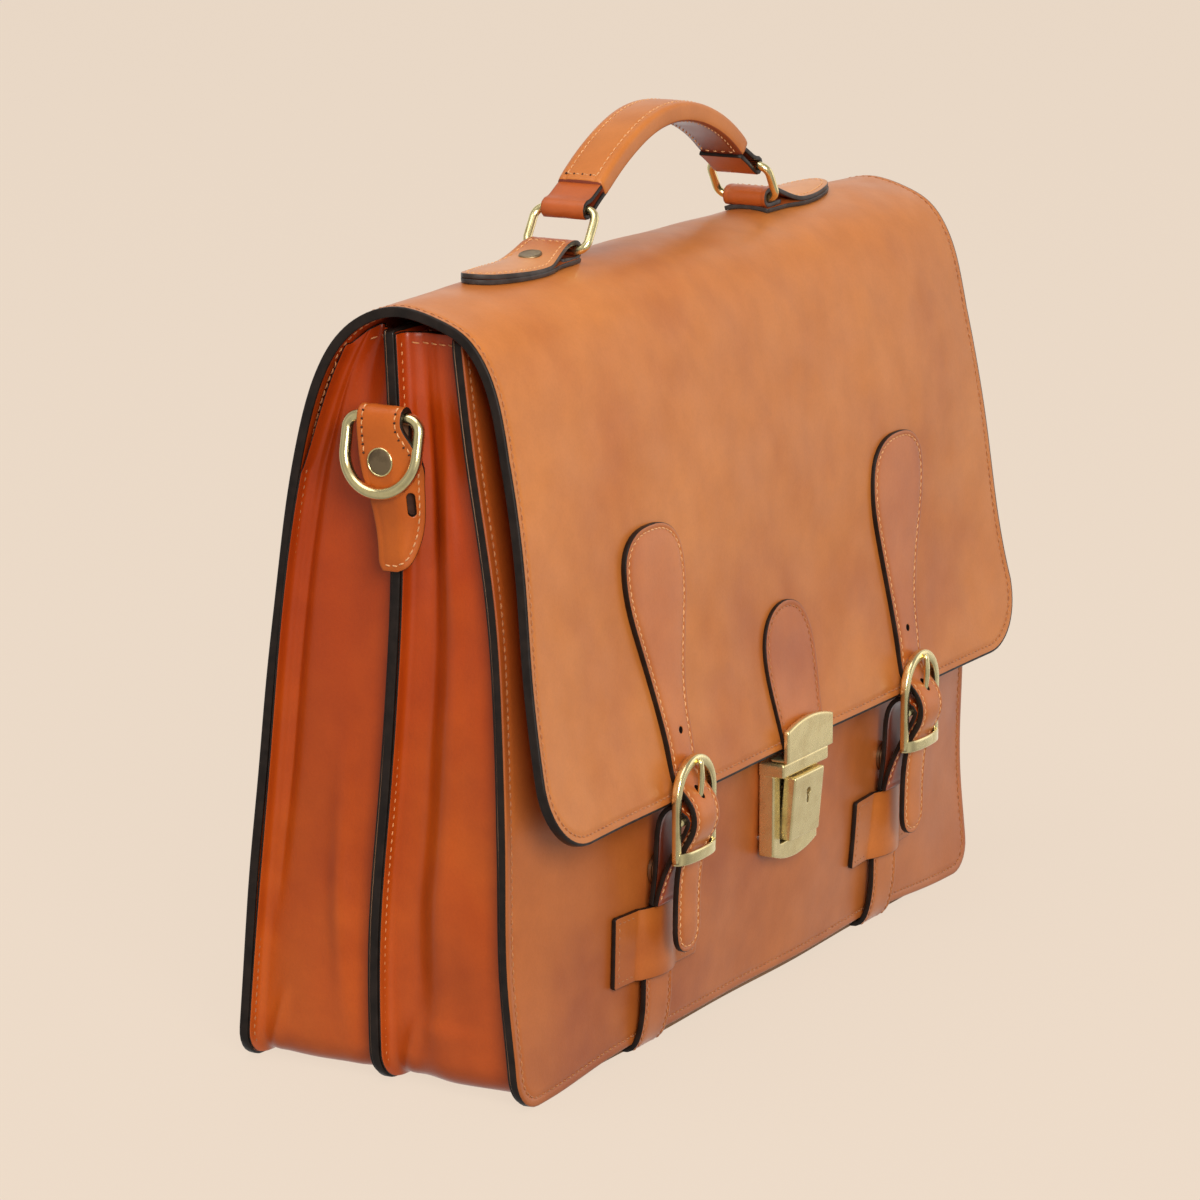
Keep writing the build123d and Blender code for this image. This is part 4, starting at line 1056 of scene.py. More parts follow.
def make_gussets():
    def front_inner(x, z):
        return front_depth(x, z) - PANEL_SKIN

    hems = Stitching()
    for name, top, cap, rear, fore, bulge, spread in (
            ("rear_gusset", 294.0, 299.0, back_inner, lambda x, z: DIVIDER_REAR(z), rear_bulge,
             lambda z: 0 * z),
            ("front_gusset", 294.0, 298.0, lambda x, z: DIVIDER_FRONT(z), front_inner, front_bulge,
             lambda z: np.interp(z, [110, 230, 297], [GUSSET_SPREAD, 0.0, -1.5]))):
        obj, grid = gusset(name + "_leather", top, cap, rear, fore, bulge, spread, SHADED_LEATHER)
        wear(obj, "case", "leather_gusset", name)
        for rows, side in (((0, 2), -1), ((-1, -3), 1)):
            edge, lower = (grid[row][7:-7] for row in rows)

            def hem(u, v, h, edge=edge, lower=lower, side=side):
                """The gusset's margin at an open end, from its edge (v = 0) inwards."""
                share = np.clip(v, 0, 1)[:, None]
                first, last = (np.stack([np.interp(u, line[:, 1], line[:, k]) for k in range(3)], 1)
                               for line in (edge, lower))
                out = side * np.reshape(h, -1) * np.ones(len(u))
                return first + share * (last - first) + np.stack([out, 0 * u, 0 * u], 1)

            f = edge[:, 1]
            hems.row(hem, np.stack([f, np.full(len(f), 0.55)], 1), 0.15, 3.8, 2.9, closed=False)
    hems.worn("gusset_hem_stitches", SIDE_THREAD, "case")


# ------------------------------------------------------------------- the straps
STRAPS = Profile(STRAP_LINE)
STRAP_HALF_SKIN = 1.25
LOOP = Profile(BUCKLE_LOOP)
LOWER = Profile(LOWER_LINE)
LOOP_HALF = 9.7
LOWER_HALF = 11.0
PATCH_HALF = 31.0
PATCH_LOW, PATCH_HIGH = 32.0, 61.4
STRAP_STITCH = 2.3
PATCH_STITCH = 2.6


def strap_surface(profile):
    return lambda x, s, h: flat_stack(x, profile.at(s, h))


def mirrored(points):
    """An outline's right half, from its foot to its top, with its left half added."""
    return list(points) + [(-u, v) for u, v in points[-2::-1]]


def racket(x):
    """A strap's outline: wide above, leaning outwards, and narrow through the buckle."""
    half, top, tail_top = 9.6, 110, 52
    up = [(half, top), (9.75, 122), (11.2, 141), (14.6, 157), (19, 172), (22.3, 184), (23.4, 196),
          (20.9, 206.3), (13.2, 212.8), (0, 215)]
    tail = [(-half, tail_top), (-8.5, 47.2), (-5.2, 43.8), (0, 42.6)]
    tail += flipped(tail[:-1])
    outline = smooth_outline([tail, [(half, tail_top), (half, top)], mirrored(up),
                              [(-half, top), (-half, tail_top)]], 1.6)
    lean = 6.3 * np.sign(x) * np.clip((outline[:, 1] - 115) / 85, 0, 2) ** 1.2
    return turned(np.stack([outline[:, 0] + lean + x, STRAPS.where(outline[:, 1])], 1))


def patch_surface(centre):
    """The front panel's face, raised over the lower strap that runs under a patch."""
    def base(x, z):
        offset = np.abs(x - centre)
        share = np.clip((15.4 - offset) / 2.6, 0, 1)
        share = share * share * (3 - 2 * share)
        on_panel = front_depth(x, z) + 0.5
        over_strap = 69.6 - 0.02 * offset ** 2
        return np.stack([x, on_panel + share * np.maximum(over_strap - on_panel, 0), z], 1)

    return proud(base, (0, 1, 0))


def make_straps():
    on_strap, on_loop, on_lower = (strap_surface(profile) for profile in (STRAPS, LOOP, LOWER))
    for name, side in SIDES.items():
        x = STRAP_X * side
        outline = racket(x)
        holes = [slot(x, STRAPS.where(109.8), STRAPS.where(105.2), 1.4),
                 circle(1.5, 16) + (x, STRAPS.where(132.0))]
        strap = sheet("racket_leather_" + name, on_strap, outline, -STRAP_HALF_SKIN, STRAP_HALF_SKIN,
                      STRAP_FACES, rim=0.9, grid=3.4, groove=STRAP_STITCH, depth=0.3, crown=0.35, holes=holes)
        wear(strap, "flap", "leather_strap", "racket_strap_" + name)
        sewn = Stitching().row(on_strap, inset(outline, STRAP_STITCH), STRAP_HALF_SKIN - 0.12, *FINE)
        sewn.worn("racket_stitches_" + name, CREAM, "flap")

        outline = oblong(x, LOOP_HALF, 0, LOOP.length, 0.8, 2.0)
        over_bar = LOOP.s[np.argmin(np.hypot(LOOP.a - BAR[0], LOOP.b - BAR[1] - 3))]
        loop = sheet("buckle_loop_leather_" + name, on_loop, outline, -1.0, 1.0, [SHADED_LEATHER, EDGE, LINING],
                     rim=0.7, grid=3.0, groove=STRAP_STITCH, depth=0.25,
                     holes=[slot(x, over_bar - 4.5, over_bar + 5.5, 2.1)])
        wear(loop, "flap", "leather_strap", "buckle_loop_" + name)
        sewn = Stitching()
        for edge in (-1, 1):
            along = np.linspace(2, LOOP.length - 2, 60)
            across = np.full(60, x + edge * (LOOP_HALF - STRAP_STITCH))
            sewn.row(on_loop, np.stack([across, along], 1), 0.85, *FINE, closed=False)
        sewn.worn("buckle_loop_stitches_" + name, CREAM, "flap")

        outline = oblong(x, LOWER_HALF, 0, LOWER.length, 0.8, 2.0, top=3)
        lower = sheet("lower_strap_leather_" + name, on_lower, outline, -1.2, 1.2, STRAP_FACES, grid=3.6,
                      groove=STRAP_STITCH, depth=0.3)
        wear(lower, "case", "leather_strap", "lower_strap_" + name)
        sewn = Stitching().row(on_lower, inset(outline, STRAP_STITCH), 1.08, *FINE)
        sewn.worn("lower_strap_stitches_" + name, THREAD, "case")

        surface = patch_surface(x)
        outline = oblong(x, PATCH_HALF, PATCH_LOW, PATCH_HIGH, 1.2, 1.5)
        patch = sheet("patch_leather_" + name, surface, outline, 0.0, 2.0, STRAP_FACES, grid=2.2)
        wear(patch, "case", "leather_strap", "strap_patch_" + name)
        sewn = Stitching()
        low, high = PATCH_LOW + PATCH_STITCH, PATCH_HIGH - PATCH_STITCH
        corners = [(17.2, high), (28.2, high), (28.2, low), (17.2, low)]
        line = np.concatenate([np.linspace(a, b, 12) for a, b in zip(corners, corners[1:])])
        for edge in (-1, 1):
            sewn.row(surface, line * (edge, 1) + (x, 0), 1.95, 2.9, 2.1, 0.28, closed=False)
        sewn.worn("patch_stitches_" + name, THREAD, "case")

    half, foot = 17.5, 104.6
    up = [(half, foot), (19.2, 120), (20.9, 134), (21.1, 143), (18.9, 152.2), (12.6, 159.8), (0, 163.5)]
    outline = on_flap(smooth_outline([mirrored(up), [(-half, foot), (half, foot)]], 1.6))
    tongue = sheet("lock_tongue_leather", shell_surface, outline, 0.05, 1.9, STRAP_FACES, grid=3.5,
                   groove=PATCH_STITCH, depth=0.28)
    wear(tongue, "flap", "leather_strap", "lock_tongue")
    sewn = Stitching().row(shell_surface, inset(outline, PATCH_STITCH), 1.75, *FINE)
    sewn.worn("lock_tongue_stitches", THREAD, "flap")


# ------------------------------------------------------------------- the buckles
def soft_rectangle(wide, high, radius):
    """The section of a bar."""
    return oblong(0, wide / 2, -high / 2, high / 2, radius, 0.8)


def smooth_path(points, count=60):
    """Points of a smooth line in space through a few points."""
    points = np.asarray(points, float)
    knots = np.concatenate([[0], np.cumsum(np.linalg.norm(np.diff(points, axis=0), axis=1))])
    where = np.linspace(0, knots[-1], count)
    return np.stack([spline(knots, points[:, k], where) for k in range(3)], 1)


FRAME_MID = 14.3
FRAME_F = 83.8
ARCH_Z = 107.0
KEEPER_Z = 83.8


def make_buckles():
    for name, side in SIDES.items():
        x = STRAP_X * side
        legs_up = [(x - FRAME_MID, FRAME_F, z) for z in np.linspace(KEEPER_Z - 1.6, ARCH_Z, 12)]
        arch = [(x - FRAME_MID * math.cos(t), FRAME_F, ARCH_Z + FRAME_MID * math.sin(t))
                for t in np.linspace(0, math.pi, 40)[1:-1]]
        path = legs_up + arch + [(2 * x - px, pf, pz) for px, pf, pz in legs_up[::-1]]
        wide = np.interp([z for _, _, z in path], [84, 100, 121.3], [0.92, 0.95, 1.12])
        metal = sweep("buckle_frame_metal_" + name, path, (0, 1, 0), soft_rectangle(3.7, 3.3, 1.0), [BRASS],
                      scale=wide)
        wear(metal, "flap", "antique_brass", "buckle_frame_" + name)
        bulge = [(-15.1, 82.7), (-14.7, 84.4), (-12.6, 85.9), (-7, 87.1)]
        bulge = smooth_path([(x + a, f, KEEPER_Z) for a, f in bulge + [(0, 87.45)] + flipped(bulge)])
        keeper = sweep("buckle_keeper_" + name, bulge, (0, 0, 1), soft_rectangle(1.5, 5.0, 0.6), [BRASS])
        wear(keeper, "flap", "antique_brass")
        line = [(x + a, *BAR) for a in np.linspace(-13.6, 13.6, 8)]
        bar = sweep("buckle_bar_" + name, line, (0, 0, 1), circle(1.75), [BRASS])
        wear(bar, "flap", "antique_brass")
        spine = [(84.4, 101.2), (85.9, 105.5), (86.7, 110.2), (87.0, 114.6), (86.9, 118.4), (86.6, 121.8)]
        spine = smooth_path([(x, f, z) for f, z in spine], 50)
        thick = np.interp(np.linspace(0, 1, 50), [0, 0.7, 0.93, 1], [1.0, 0.95, 0.8, 0.35])
        prong = sweep("buckle_prong_metal_" + name, spine, (1, 0, 0), circle(1.25, 16, 1.2), [BRASS],
                      scale=thick)
        wear(prong, "prong_" + name, "antique_brass", "buckle_prong_" + name)
        round_bar = [(x, f + BAR[0], z + BAR[1]) for f, z in circle(2.45, 32)]
        eye = sweep("buckle_prong_eye_" + name, round_bar, (1, 0, 0), soft_rectangle(1.1, 3.2, 0.4), [BRASS],
                    closed=True)
        wear(eye, "prong_" + name, "antique_brass")


# ---------------------------------------------------------------------- the lock
def facing(forward):
    """A flat surface that faces forward."""
    return lambda x, z, h: np.stack([x, forward + np.reshape(h, -1) * np.ones(len(x)), z], 1)


def shield(half, low, high, dip, rise):
    """A plate's outline with straight sides, a foot that dips and a head that rises in the middle."""
    def bowed(level, by, first, last):
        return [(x, level + by * (1 - (x / half) ** 2)) for x in np.linspace(first, last, 9)]

    return smooth_outline([bowed(low, -dip, -half, half), [(half, low), (half, high)],
                           bowed(high, rise, half, -half), [(-half, high), (-half, low)]], 1.2)


def keyhole(z):
    """A round hole with a tapered slot below it."""
    head = arc_points(0, z, 1.75, -60, 240, 15)
    foot = arc_points(0, z - 4.2, 0.85, 180, 360, 7)
    return turned(np.array(head + foot))


def lock_part(name, body, nodes, surface, outline, low, high, metal=BRASS_LOCK, **cut):
    """A plate of the lock, on its body, for the CAD nodes that it stands for."""
    part = sheet(name, surface, outline, low, high, [metal] * 3, clean=True, square=0.8, **cut)
    wear(part, body, "antique_brass", *nodes)


def make_lock():
    window = oblong(0, 13.9, 64.6, 93.9, 0.8, 1.5, top=0.5)
    lock_part("lock_case_metal", "case", ["lock_case"], facing(69.8), shield(19.6, 60.3, 95.0, 3.8, 0.0),
              0.0, 6.9, rim=0.9, grid=5, holes=[window], edge_round=0.9)
    lock_part("lock_hood", "case", [], facing(69.8), oblong(0, 20, 93.9, 99.8, 1.1, 1.0), 0.0, 11.6, grid=3,
              edge_round=0.9)
    lock_part("lock_floor", "case", [], facing(70.0), oblong(0, 14, 64.4, 94.4, 0.5, 2.0), 0.0, 1.0,
              BRASS_DARK, rim=0.3, grid=6)
    slanted = proud(lambda x, z: np.stack([x, 80.9 + (z - 65.6) * 0.09, z], 1), (0, 1, 0))
    lock_part("push_plate_metal", "push_plate", ["push_plate"], slanted,
              oblong(0, 12.9, 65.8, 92.9, 1.0, 1.2), -5.6, 0.0, grid=4, holes=[keyhole(84.7)], edge_round=0.8)
    lock_part("hasp_metal", "flap", ["hasp_plate"], facing(81.2), shield(20, 100.4, 113.8, 0.0, 3.2), 0.0,
              2.4, grid=5, edge_round=0.8)
    lock_part("hasp_lip", "flap", [],
              lambda x, f, h: np.stack([x, f, 100.4 + np.reshape(h, -1) * np.ones(len(x))], 1),
              oblong(0, 19, 75.0, 82.2, 0.6, 1.5), 0.0, 1.1, rim=0.35, grid=4,
              holes=[oblong(0, 4.3, 76.6, 79.8, 0.3, 1.0)])


# -------------------------------------------------------------------- the handle
HANDLE = Profile(HANDLE_LINE)
HANDLE_HALF = 10.5
HANDLE_THICK = 8.0
RING_LOW = (81.4, 314.6)
RING_HIGH = (72.0, 329.5)
HANDLE_LOOP = [(57, 339.3), (62, 336.9), (67, 334.2), (70.6, 332.7), (73.9, 331.9), (75.1, 329.5),
               (73.7, 326.8), (70.6, 326.9), (66, 329.6), (61, 332.8), (56.5, 335.3)]
ANCHOR_LOOP = [(92, 311.9), (86, 311.6), (81.8, 311.5), (79.2, 312.4), (78.3, 314.6), (79.2, 316.9),
               (81.9, 317.9), (86, 317.8), (91, 316.6), (96, 315.1), (101, 313.9), (107, 313.3),
               (115, 313.1), (126, 313.1), (138, 313.1), (152, 313.1)]
ANCHOR_SHAPE = [(98, 11.4), (106, 12.9), (113, 13.1), (122, 12.3), (134, 9.8), (142.5, 6.6), (146.2, 3.2),
                (147.2, 0)]
ANCHOR_STITCH = 2.4
GROOVE_AT = 6.6
SHOULDER = 8.2           # where the handle's flat top turns down


def handle_section():
    """(up, forward) section of the handle: leather round a core, with two stitch grooves on top."""
    half, up = HANDLE_HALF, HANDLE_THICK / 2
    top = []
    for q in np.linspace(-SHOULDER, SHOULDER, 42):
        dip = 0.22 * math.exp(-((abs(q) - GROOVE_AT) / 0.6) ** 2)
        top.append((up - dip + 0.35 * (1 - (q / SHOULDER) ** 2), q))
    turn = half - SHOULDER
    right = [(up - turn + turn * math.cos(t), SHOULDER + turn * math.sin(t))
             for t in np.linspace(0.25, math.pi / 2, 7)]
    right += [(0.4, half), (-1.6, half - 0.05), (-2.6, half - 0.3)]
    left = [(a, -b) for a, b in right[::-1]]
    bottom = [(-3.3, half - 0.5), (-up, half - 1.3), (-up - 0.1, 6), (-up - 0.15, 0), (-up - 0.1, -6),
              (-up, -half + 1.3), (-3.3, -half + 0.5)]
    section = top + right + bottom + left
    picks = [0] * (len(top) + len(right)) + [2] * (len(bottom) - 1) + [0] * (len(left) + 1)
    return section, picks


def ring_path(start, towards, half, reach, near_bend, far_bend):
    """A closed D or oblong. Its near bar lies along the forward axis with its middle at `start`."""
    towards = np.asarray(towards, float) / np.linalg.norm(towards)
    corners = [(-half, 0, near_bend), (half, 0, near_bend), (half, reach, far_bend), (-half, reach, far_bend)]
    return [np.asarray(start) + np.array([0, u, 0]) + v * towards for u, v in rounded(corners, 1.2)]


def make_handle():
    section, picks = handle_section()
    first, last = (HANDLE.s[np.argmin(np.abs(HANDLE.a - x))] for x in (-62.5, 62.5))
    run = np.linspace(first, last, 110)
    x, z = HANDLE.at(run, -HANDLE_THICK / 2)
    path = np.stack([x, np.full(len(x), HANDLE_F), z], 1)
    taper = np.interp(np.minimum(run - first, last - run), [0, 2, 6], [0.96, 0.99, 1.0])
    grip = sweep("handle_grip", path, (0, 1, 0), section, [TAN, LINING, LINING], scale=taper, picks=picks)
    wear(grip, "handle", "leather_strap", "handle_strap", "handle_core", "handle_lining")

    def on_handle(q, s, h):
        a, b = HANDLE.at(s, h)
        return np.stack([a, HANDLE_F + q, b], 1)

    under_handle, under = below(on_handle), HANDLE_THICK + 0.1
    sewn, holes = Stitching(), Stitching()
    along = np.linspace(first + 3.0, last - 3.0, 120)
    for q in (-GROOVE_AT, GROOVE_AT):
        sewn.row(on_handle, np.stack([np.full(120, q), along], 1), 0.0, 3.1, 2.3, 0.28, closed=False)
        line = np.stack([np.full(120, q * 1.15), along], 1)
        sewn.row(under_handle, line, under, 3.1, 2.3, 0.26, closed=False)
    for end in (first + 3.2, last - 3.2):
        line = np.stack([np.linspace(-7.4, 7.4, 20), np.full(20, end)], 1)
        sewn.row(on_handle, line, 0.25, 3.4, 2.0, 0.28, closed=False)
        sewn.row(under_handle, line, under, 3.4, 2.0, 0.28, closed=False)
        # Dark marks beside the cross rows: painted shade inside the needle holes.
        holes.row(on_handle, line - (1.6, 0), 0.15, 3.4, 0.9, 0.5, closed=False)
    sewn.worn("handle_stitches", CREAM, "handle")
    holes.worn("handle_painted_hole_shades", HOLE_SHADE, "handle", "leather_edge")

    loop = Profile(HANDLE_LOOP)
    anchor = Profile(ANCHOR_LOOP)
    top_z = float(SHELL.b.max())
    for name, side in SIDES.items():
        def on_loop(q, s, h, side=side):
            a, b = loop.at(s, h)
            return np.stack([side * a, HANDLE_F + q, b], 1)

        outline = oblong(0, 9.8, 0, loop.length, 0.6, 1.8)
        leather_loop = sheet("handle_loop_" + name, on_loop, outline, -0.98, 0.98,
                             [LOOP_LEATHER, EDGE, LINING], rim=0.7, grid=2.5)
        wear(leather_loop, "handle", "leather_strap")

        low, high = (np.array([side * a, HANDLE_F, b]) for a, b in (RING_LOW, RING_HIGH))
        reach = np.linalg.norm(high - low)
        path = ring_path(low, high - low, 13.75, reach, 4.6, 4.6)
        normal = np.cross(high - low, (0, 1, 0))
        ring = sweep("handle_ring_wire_" + name, path, normal, circle(1.75), [BRASS], closed=True)
        wear(ring, "ring_" + name, "antique_brass", "handle_ring_" + name)

        middle_s = SHELL.s[np.argmin(np.abs(SHELL.a - HANDLE_F) + (SHELL.b < 300) * 100)]
        shape = [(79.5, 10.3), (88, 10.7)] + ANCHOR_SHAPE
        shape += [(a, -b) for a, b in shape[-2::-1]]
        outline = smooth_outline([shape, [(79.5, -10.3), (79.5, 10.3)]], 1.5)
        outline = turned(np.stack([side * outline[:, 0], middle_s + outline[:, 1]], 1))
        base = sheet("anchor_leather_" + name, shell_surface, outline, 0.1, 2.0,
                     [LOOP_LEATHER, EDGE_GREY, FLESH], rim=0.6, grid=3.5, square=0.4, turned_over=0)
        wear(base, "flap", "leather_strap", "handle_anchor_" + name)

        flat = anchor.s > anchor.s[np.argmax(anchor.b)]

        def on_anchor(q, s, h, side=side):
            a, b = anchor.at(s, h)
            share = np.clip((np.asarray(s) - anchor.s[flat][0] - 6) / 16, 0, 1)
            sunk = top_z - np.interp(HANDLE_F + q, SHELL.a[SHELL.b > 300], SHELL.b[SHELL.b > 300])
            return np.stack([side * a, HANDLE_F + q, b - share * sunk], 1)

        tip = [(q, np.interp(a, anchor.a[flat], anchor.s[flat])) for a, q in ANCHOR_SHAPE]
        neck = tip[0][1] - 12
        right = [(10.2, 0), (10.2, neck)] + tip
        outline = smooth_outline([[(-10.2, 0), (10.2, 0)], right, flipped(right)], 1.5)
        strap = sheet("anchor_loop_" + name, on_anchor, outline, -0.98, 0.98, [ANCHOR_SHADE_AND_SHEEN, EDGE_GREY, LINING],
                      rim=0.7, grid=2.5, groove=ANCHOR_STITCH, depth=0.22)
        wear(strap, "flap", "leather_strap")
        line = inset(outline, ANCHOR_STITCH)
        line = line[line[:, 1] > neck]
        start_at = int(np.argmax(np.linalg.norm(np.diff(line, axis=0), axis=1))) + 1
        line = np.roll(line, -start_at, 0)
        sewn = Stitching().row(on_anchor, line, 0.85, *FINE, closed=False)
        sewn.worn("anchor_stitches_" + name, CREAM, "flap")
        cap = [(4.5, -0.8), (4.7, 0.1), (4.55, 0.55), (4.1, 0.75), (3.7, 0.62), (2.0, 0.62), (0, 0.65)]
        at_rivet = np.array([np.interp(100.5, anchor.a[flat], anchor.s[flat])])
        foot, above = (on_anchor(np.zeros(1), at_rivet, h)[0] for h in (1.0, 2.0))
        rivet = lathe("anchor_rivet_" + name, foot, above - foot, cap, BRASS_DARK)
        wear(rivet, "flap", "antique_brass")
        if side > 0:
            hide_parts("anchor_rivets")


# -------------------------------------------------------- side tabs and D-rings
TAB_LINE = [(196.6, 246), (196.3, 256), (195.7, 266.4), (196.8, 269.0), (199.2, 270.0), (201.7, 268.9),
            (202.75, 266.4), (202.7, 258), (202.6, 250), (202.0, 242), (200.6, 234), (199.4, 226),
            (198.8, 218), (198.4, 205)]
TAB_HALF = 9.7           # half width where it passes through the ring
TAB_RIGHT = [(TAB_HALF, 267), (9.9, 264.5), (12.2, 260.5), (15.6, 255.5), (17.5, 249), (17.5, 240),
             (16.8, 230), (15.2, 221), (12.6, 214), (9.4, 209.3), (5.4, 207)]
TAB_LEFT = [(-1.2, 206.8), (-2.6, 209), (-3.2, 214), (-4.1, 226), (-5.6, 235.5), (-7.3, 243), (-8.8, 251),
            (-9.6, 260), (-TAB_HALF, 267)]
TAB_FOLD = 6.4
TAB_STITCH = 2.5
D_BAR = (199.2, 266.4)
D_LOW = 237.9
D_LEAN = math.radians(12)


def make_sides():
    tab = Profile(TAB_LINE)
    for name, side in SIDES.items():
        over = tab.s[np.argmax(tab.b)]
        front = tab.s >= over

        def down(z, front=front):
            """Length along the tab at which its outer leg is z high."""
            return np.interp(-np.asarray(z, float), -tab.b[front], tab.s[front])

        def on_tab(q, s, h, side=side):
            """Its front margin folds back round the divider's edge, more so lower down."""
            a, b = tab.at(s, h)
            fold = np.clip((s - down(258.0)) / 18, 0, 1)
            angle = math.radians(52) * fold * fold * (3 - 2 * fold)
            past = np.maximum(q - TAB_FOLD, 0)
            eased = past * past / (past + 2.0)
            turn = angle * eased / np.maximum(past, 1e-6)
            lift = np.where(past > 0, h, 0)
            f = np.minimum(q, TAB_FOLD) + past * np.cos(turn) + lift * np.sin(turn)
            return np.stack([side * (a - past * np.sin(turn)), TAB_F + f, b], 1)

        right, left = ([(q, float(down(z))) for q, z in points] for points in (TAB_RIGHT, TAB_LEFT))
        outline = smooth_outline([[(-TAB_HALF, 0), (TAB_HALF, 0)],
                                  [(TAB_HALF, 0), (TAB_HALF, right[0][1] - 6)] + right, [right[-1], left[0]],
                                  left + [(-TAB_HALF, left[-1][1] - 6), (-TAB_HALF, 0)]], 1.2)
        leather_tab = sheet("side_tab_leather_" + name, on_tab, outline, -1.1, 1.1, [TAB_TAN, EDGE, FLESH],
                            rim=0.7, grid=2.2, groove=TAB_STITCH, depth=0.22,
                            holes=[slot(11.6, down(238.5), down(229.0), 1.7)])
        wear(leather_tab, "case", "leather_strap", "side_tab_" + name)
        # A dark sheet behind the slot: painted shade where the slot opens onto the gusset.
        shade_outline = slot(11.6, down(240.0), down(227.4), 3.0)
        shade_sheet = sheet("tab_slot_painted_shade_" + name, on_tab, shade_outline, -1.9, -1.15, [HOLE_SHADE] * 3, rim=0.2,
                    grid=1.5, square=0.6, turned_over=0)
        wear(shade_sheet, "case", "leather_edge")
        sewn, holes = Stitching(), Stitching()
        line = inset(outline, TAB_STITCH)
        rows = (line[(line[:, 0] < 0) & (line[:, 1] > over) & (line[:, 1] < down(252))],
                line[(line[:, 0] > 4) & (line[:, 1] > over) & (line[:, 1] < down(253))],
                line[((line[:, 0] > 0) & (line[:, 1] > down(247))) | (line[:, 1] > down(210.5))])
        for row in rows[:2]:
            row = row[np.argsort(row[:, 1])]
            sewn.row(on_tab, row, 1.05, 3.2, 2.0, 0.3, closed=False)
            # Dark marks beside the stitches: painted shade inside the needle holes.
            holes.row(on_tab, row + (0, 1.55), 0.95, 3.2, 0.9, 0.5, closed=False)
        row = rows[2][np.argsort(np.arctan2(rows[2][:, 1] - down(225), rows[2][:, 0] - 2))]
        sewn.row(on_tab, row, 1.05, 3.0, 2.2, 0.3, closed=False)
        sewn.worn("side_stitches_" + name, CREAM, "case")
        holes.worn("side_painted_hole_shades_" + name, HOLE_SHADE, "case", "leather_edge")

        start = (side * D_BAR[0], TAB_F, D_BAR[1])
        hang = (side * math.sin(D_LEAN), 0, -math.cos(D_LEAN))
        reach = (D_BAR[1] - D_LOW) / math.cos(D_LEAN)
        path = ring_path(start, hang, 15.8, reach, 5.0, 15.7)
        ring = sweep("d_ring_wire_" + name, path, np.cross(hang, (0, 1, 0)), circle(2.3, 24), [BRASS],
                     closed=True)
        wear(ring, "d_ring_" + name, "antique_brass", "d_ring_" + name)

        foot = (side * 203.5, TAB_F + 0.8, 250)
        rim = [(5.2, 0), (5.6, 0.2), (5.65, 0.6), (5.5, 0.9), (5.25, 1.0), (5.0, 0.9), (4.9, 0.5)]
        wear(lathe("side_rivet_rim_" + name, foot, (side, 0, 0), rim, BRASS), "case", "antique_brass")
        disc = [(5.1, 0), (5.1, 0.75), (4.8, 0.92), (3.6, 1.02), (0, 1.08)]
        cap = lathe("side_rivet_cap_" + name, foot, (side, 0, 0), disc, BRASS_DARK)
        wear(cap, "case", "antique_brass")
        if side > 0:
            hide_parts("side_rivets")


# ------------------------------------------------------------- the inner pieces
INNER = [(BOARD, ["handle_board"]), (STEEL, ["lock_backplate", "lock_screws", "plate_spring"]),
         (BRASS_DARK, ["loop_magnets", "panel_magnets", "hasp_rivets", "key_barrel", "lock_bolt"])]


def finish_inner():
    """Gives the CAD nodes that stay visible their materials."""
    for material, nodes in INNER:
        for node in nodes:
            mesh = frame["nodes"][node].data
            mesh.materials.clear()
            mesh.materials.append(material)


make_panels()
make_gussets()
make_straps()
make_buckles()
make_lock()
make_handle()
make_sides()
finish_inner()


# ------------------------------------------------------------- floor, light, camera
def area_light(name, where, aim, size, power, colour):
    """A soft lamp of a (wide, high) size in metres, turned to its aim."""
    data = bpy.data.lights.new(name, "AREA")
    data.shape = "RECTANGLE"
    data.size, data.size_y = size
    data.energy = power
    data.color = colour
    lamp = bpy.data.objects.new(name, data)
    lamp.location = where
    lamp.rotation_euler = (Vector(aim) - Vector(where)).to_track_quat("-Z", "Y").to_euler()
    bpy.context.scene.collection.objects.link(lamp)


BACKDROP = (0.815, 0.686, 0.565)


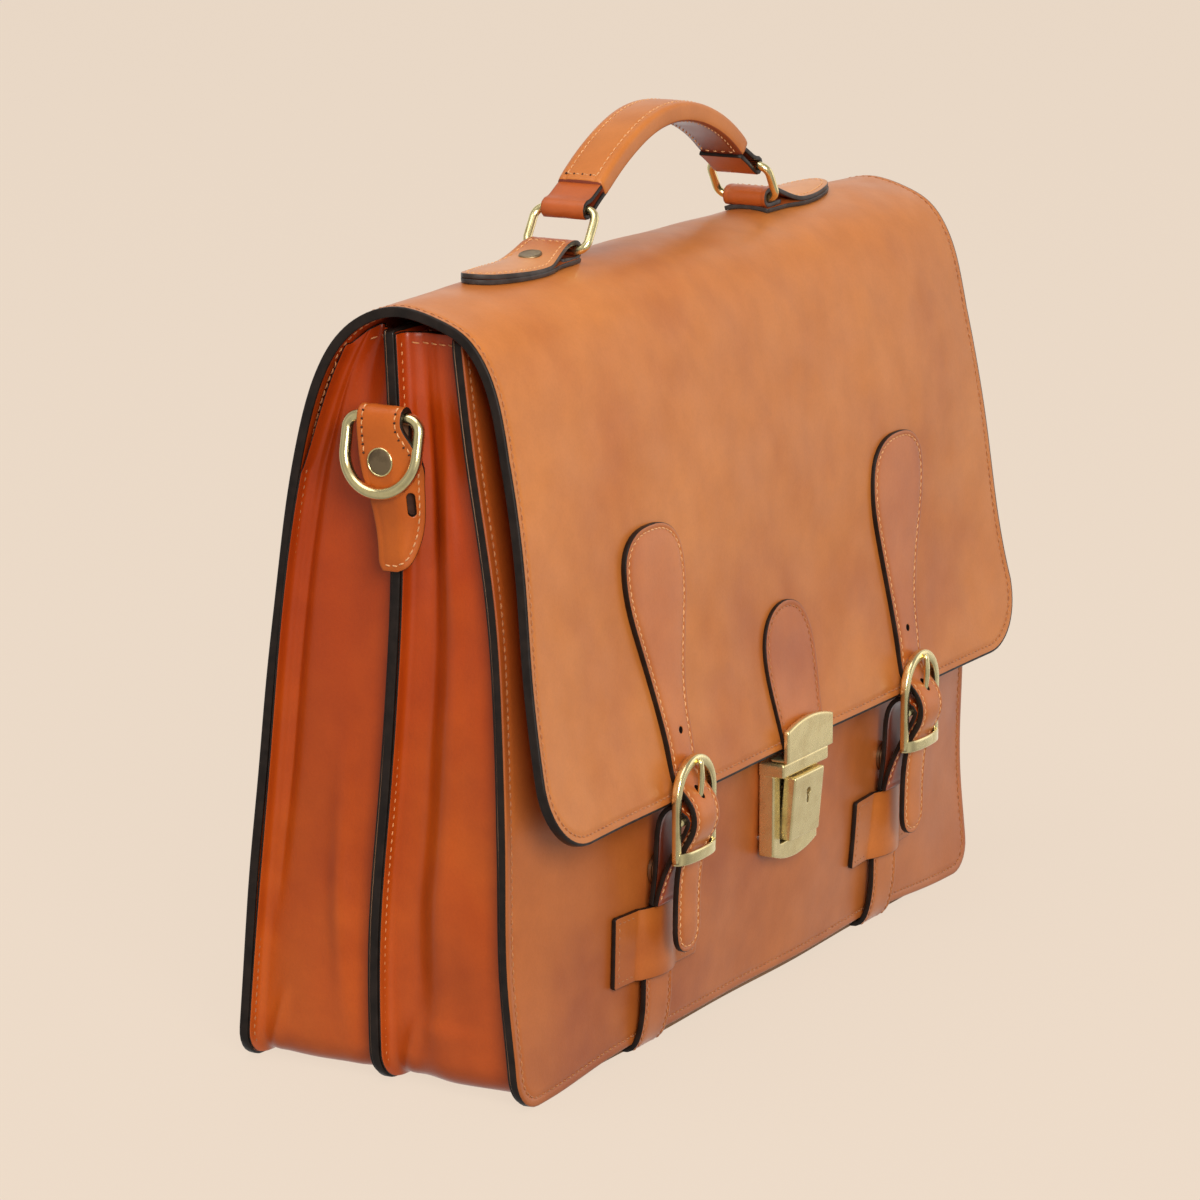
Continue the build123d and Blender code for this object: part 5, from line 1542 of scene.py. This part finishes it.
def make_world():
    """A studio with a white side to the right and a dim one to the left."""
    studio = bpy.data.worlds.new("studio")
    studio.use_nodes = True
    tree = studio.node_tree
    direction = tree.nodes.new("ShaderNodeTexCoord").outputs["Generated"]
    towards = tree.nodes.new("ShaderNodeVectorMath")
    towards.operation = "DOT_PRODUCT"
    towards.inputs[1].default_value = (0.87, 0.49, 0.0)
    tree.links.new(direction, towards.inputs[0])
    across = span(tree, towards.outputs["Value"], 0.0, 1.0, -1.0, 1.0)
    tone = ramp(tree, across, [(0.0, (0.26, 0.25, 0.24)), (0.26, (0.52, 0.50, 0.46)),
                               (0.50, (0.28, 0.27, 0.26)), (0.74, (0.46, 0.44, 0.42)),
                               (0.97, (0.98, 0.95, 0.91))])
    tree.links.new(tone, tree.nodes["Background"].inputs["Color"])
    bpy.context.scene.world = studio


def make_stage():
    """A plain pale floor that throws no light on the case, the studio round it, and three lamps."""
    mesh = bpy.data.meshes.new("floor")
    reach = 14.0
    corners = [(-reach, -reach, 0), (reach, -reach, 0), (reach, reach, 0), (-reach, reach, 0)]
    mesh.from_pydata(corners, [], [(0, 1, 2, 3)])
    material, _, body = shader("floor_paint", tuple(0.08 * c for c in BACKDROP), 0.95)
    body.inputs["Specular IOR Level"].default_value = 0.0
    body.inputs["Emission Color"].default_value = (*BACKDROP, 1)
    body.inputs["Emission Strength"].default_value = 0.955
    mesh.materials.append(material)
    floor = bpy.data.objects.new("floor", mesh)
    bpy.context.scene.collection.objects.link(floor)
    floor.visible_glossy = False
    floor.visible_diffuse = False
    floor.visible_shadow = False
    make_world()
    target = (0, 0, 0.17)
    area_light("key", (-2.1, -1.9, 1.3), target, (1.3, 1.3), 68, (1.0, 0.95, 0.88))
    area_light("right", (2.3, -1.9, 0.6), target, (1.6, 2.2), 10, (1.0, 0.96, 0.91))
    area_light("top", (-0.9, 0.3, 2.6), target, (2.0, 1.6), 27, (1.0, 0.97, 0.93))


def make_camera():
    """Looks at the case's left-hand end and front, a little from above."""
    data = bpy.data.cameras.new("camera")
    data.lens = 154.0
    data.sensor_width = 36.0
    data.clip_end = 60
    camera = bpy.data.objects.new("camera", data)
    camera.location = (-1.81398, -0.99674, 0.62954)
    aim = Vector((-0.02755, 0.0095, 0.16116))
    camera.rotation_euler = (aim - camera.location).to_track_quat("-Z", "Y").to_euler()
    bpy.context.scene.collection.objects.link(camera)
    bpy.context.scene.camera = camera


make_stage()
make_camera()
bpy.context.scene.view_settings.view_transform = "Standard"
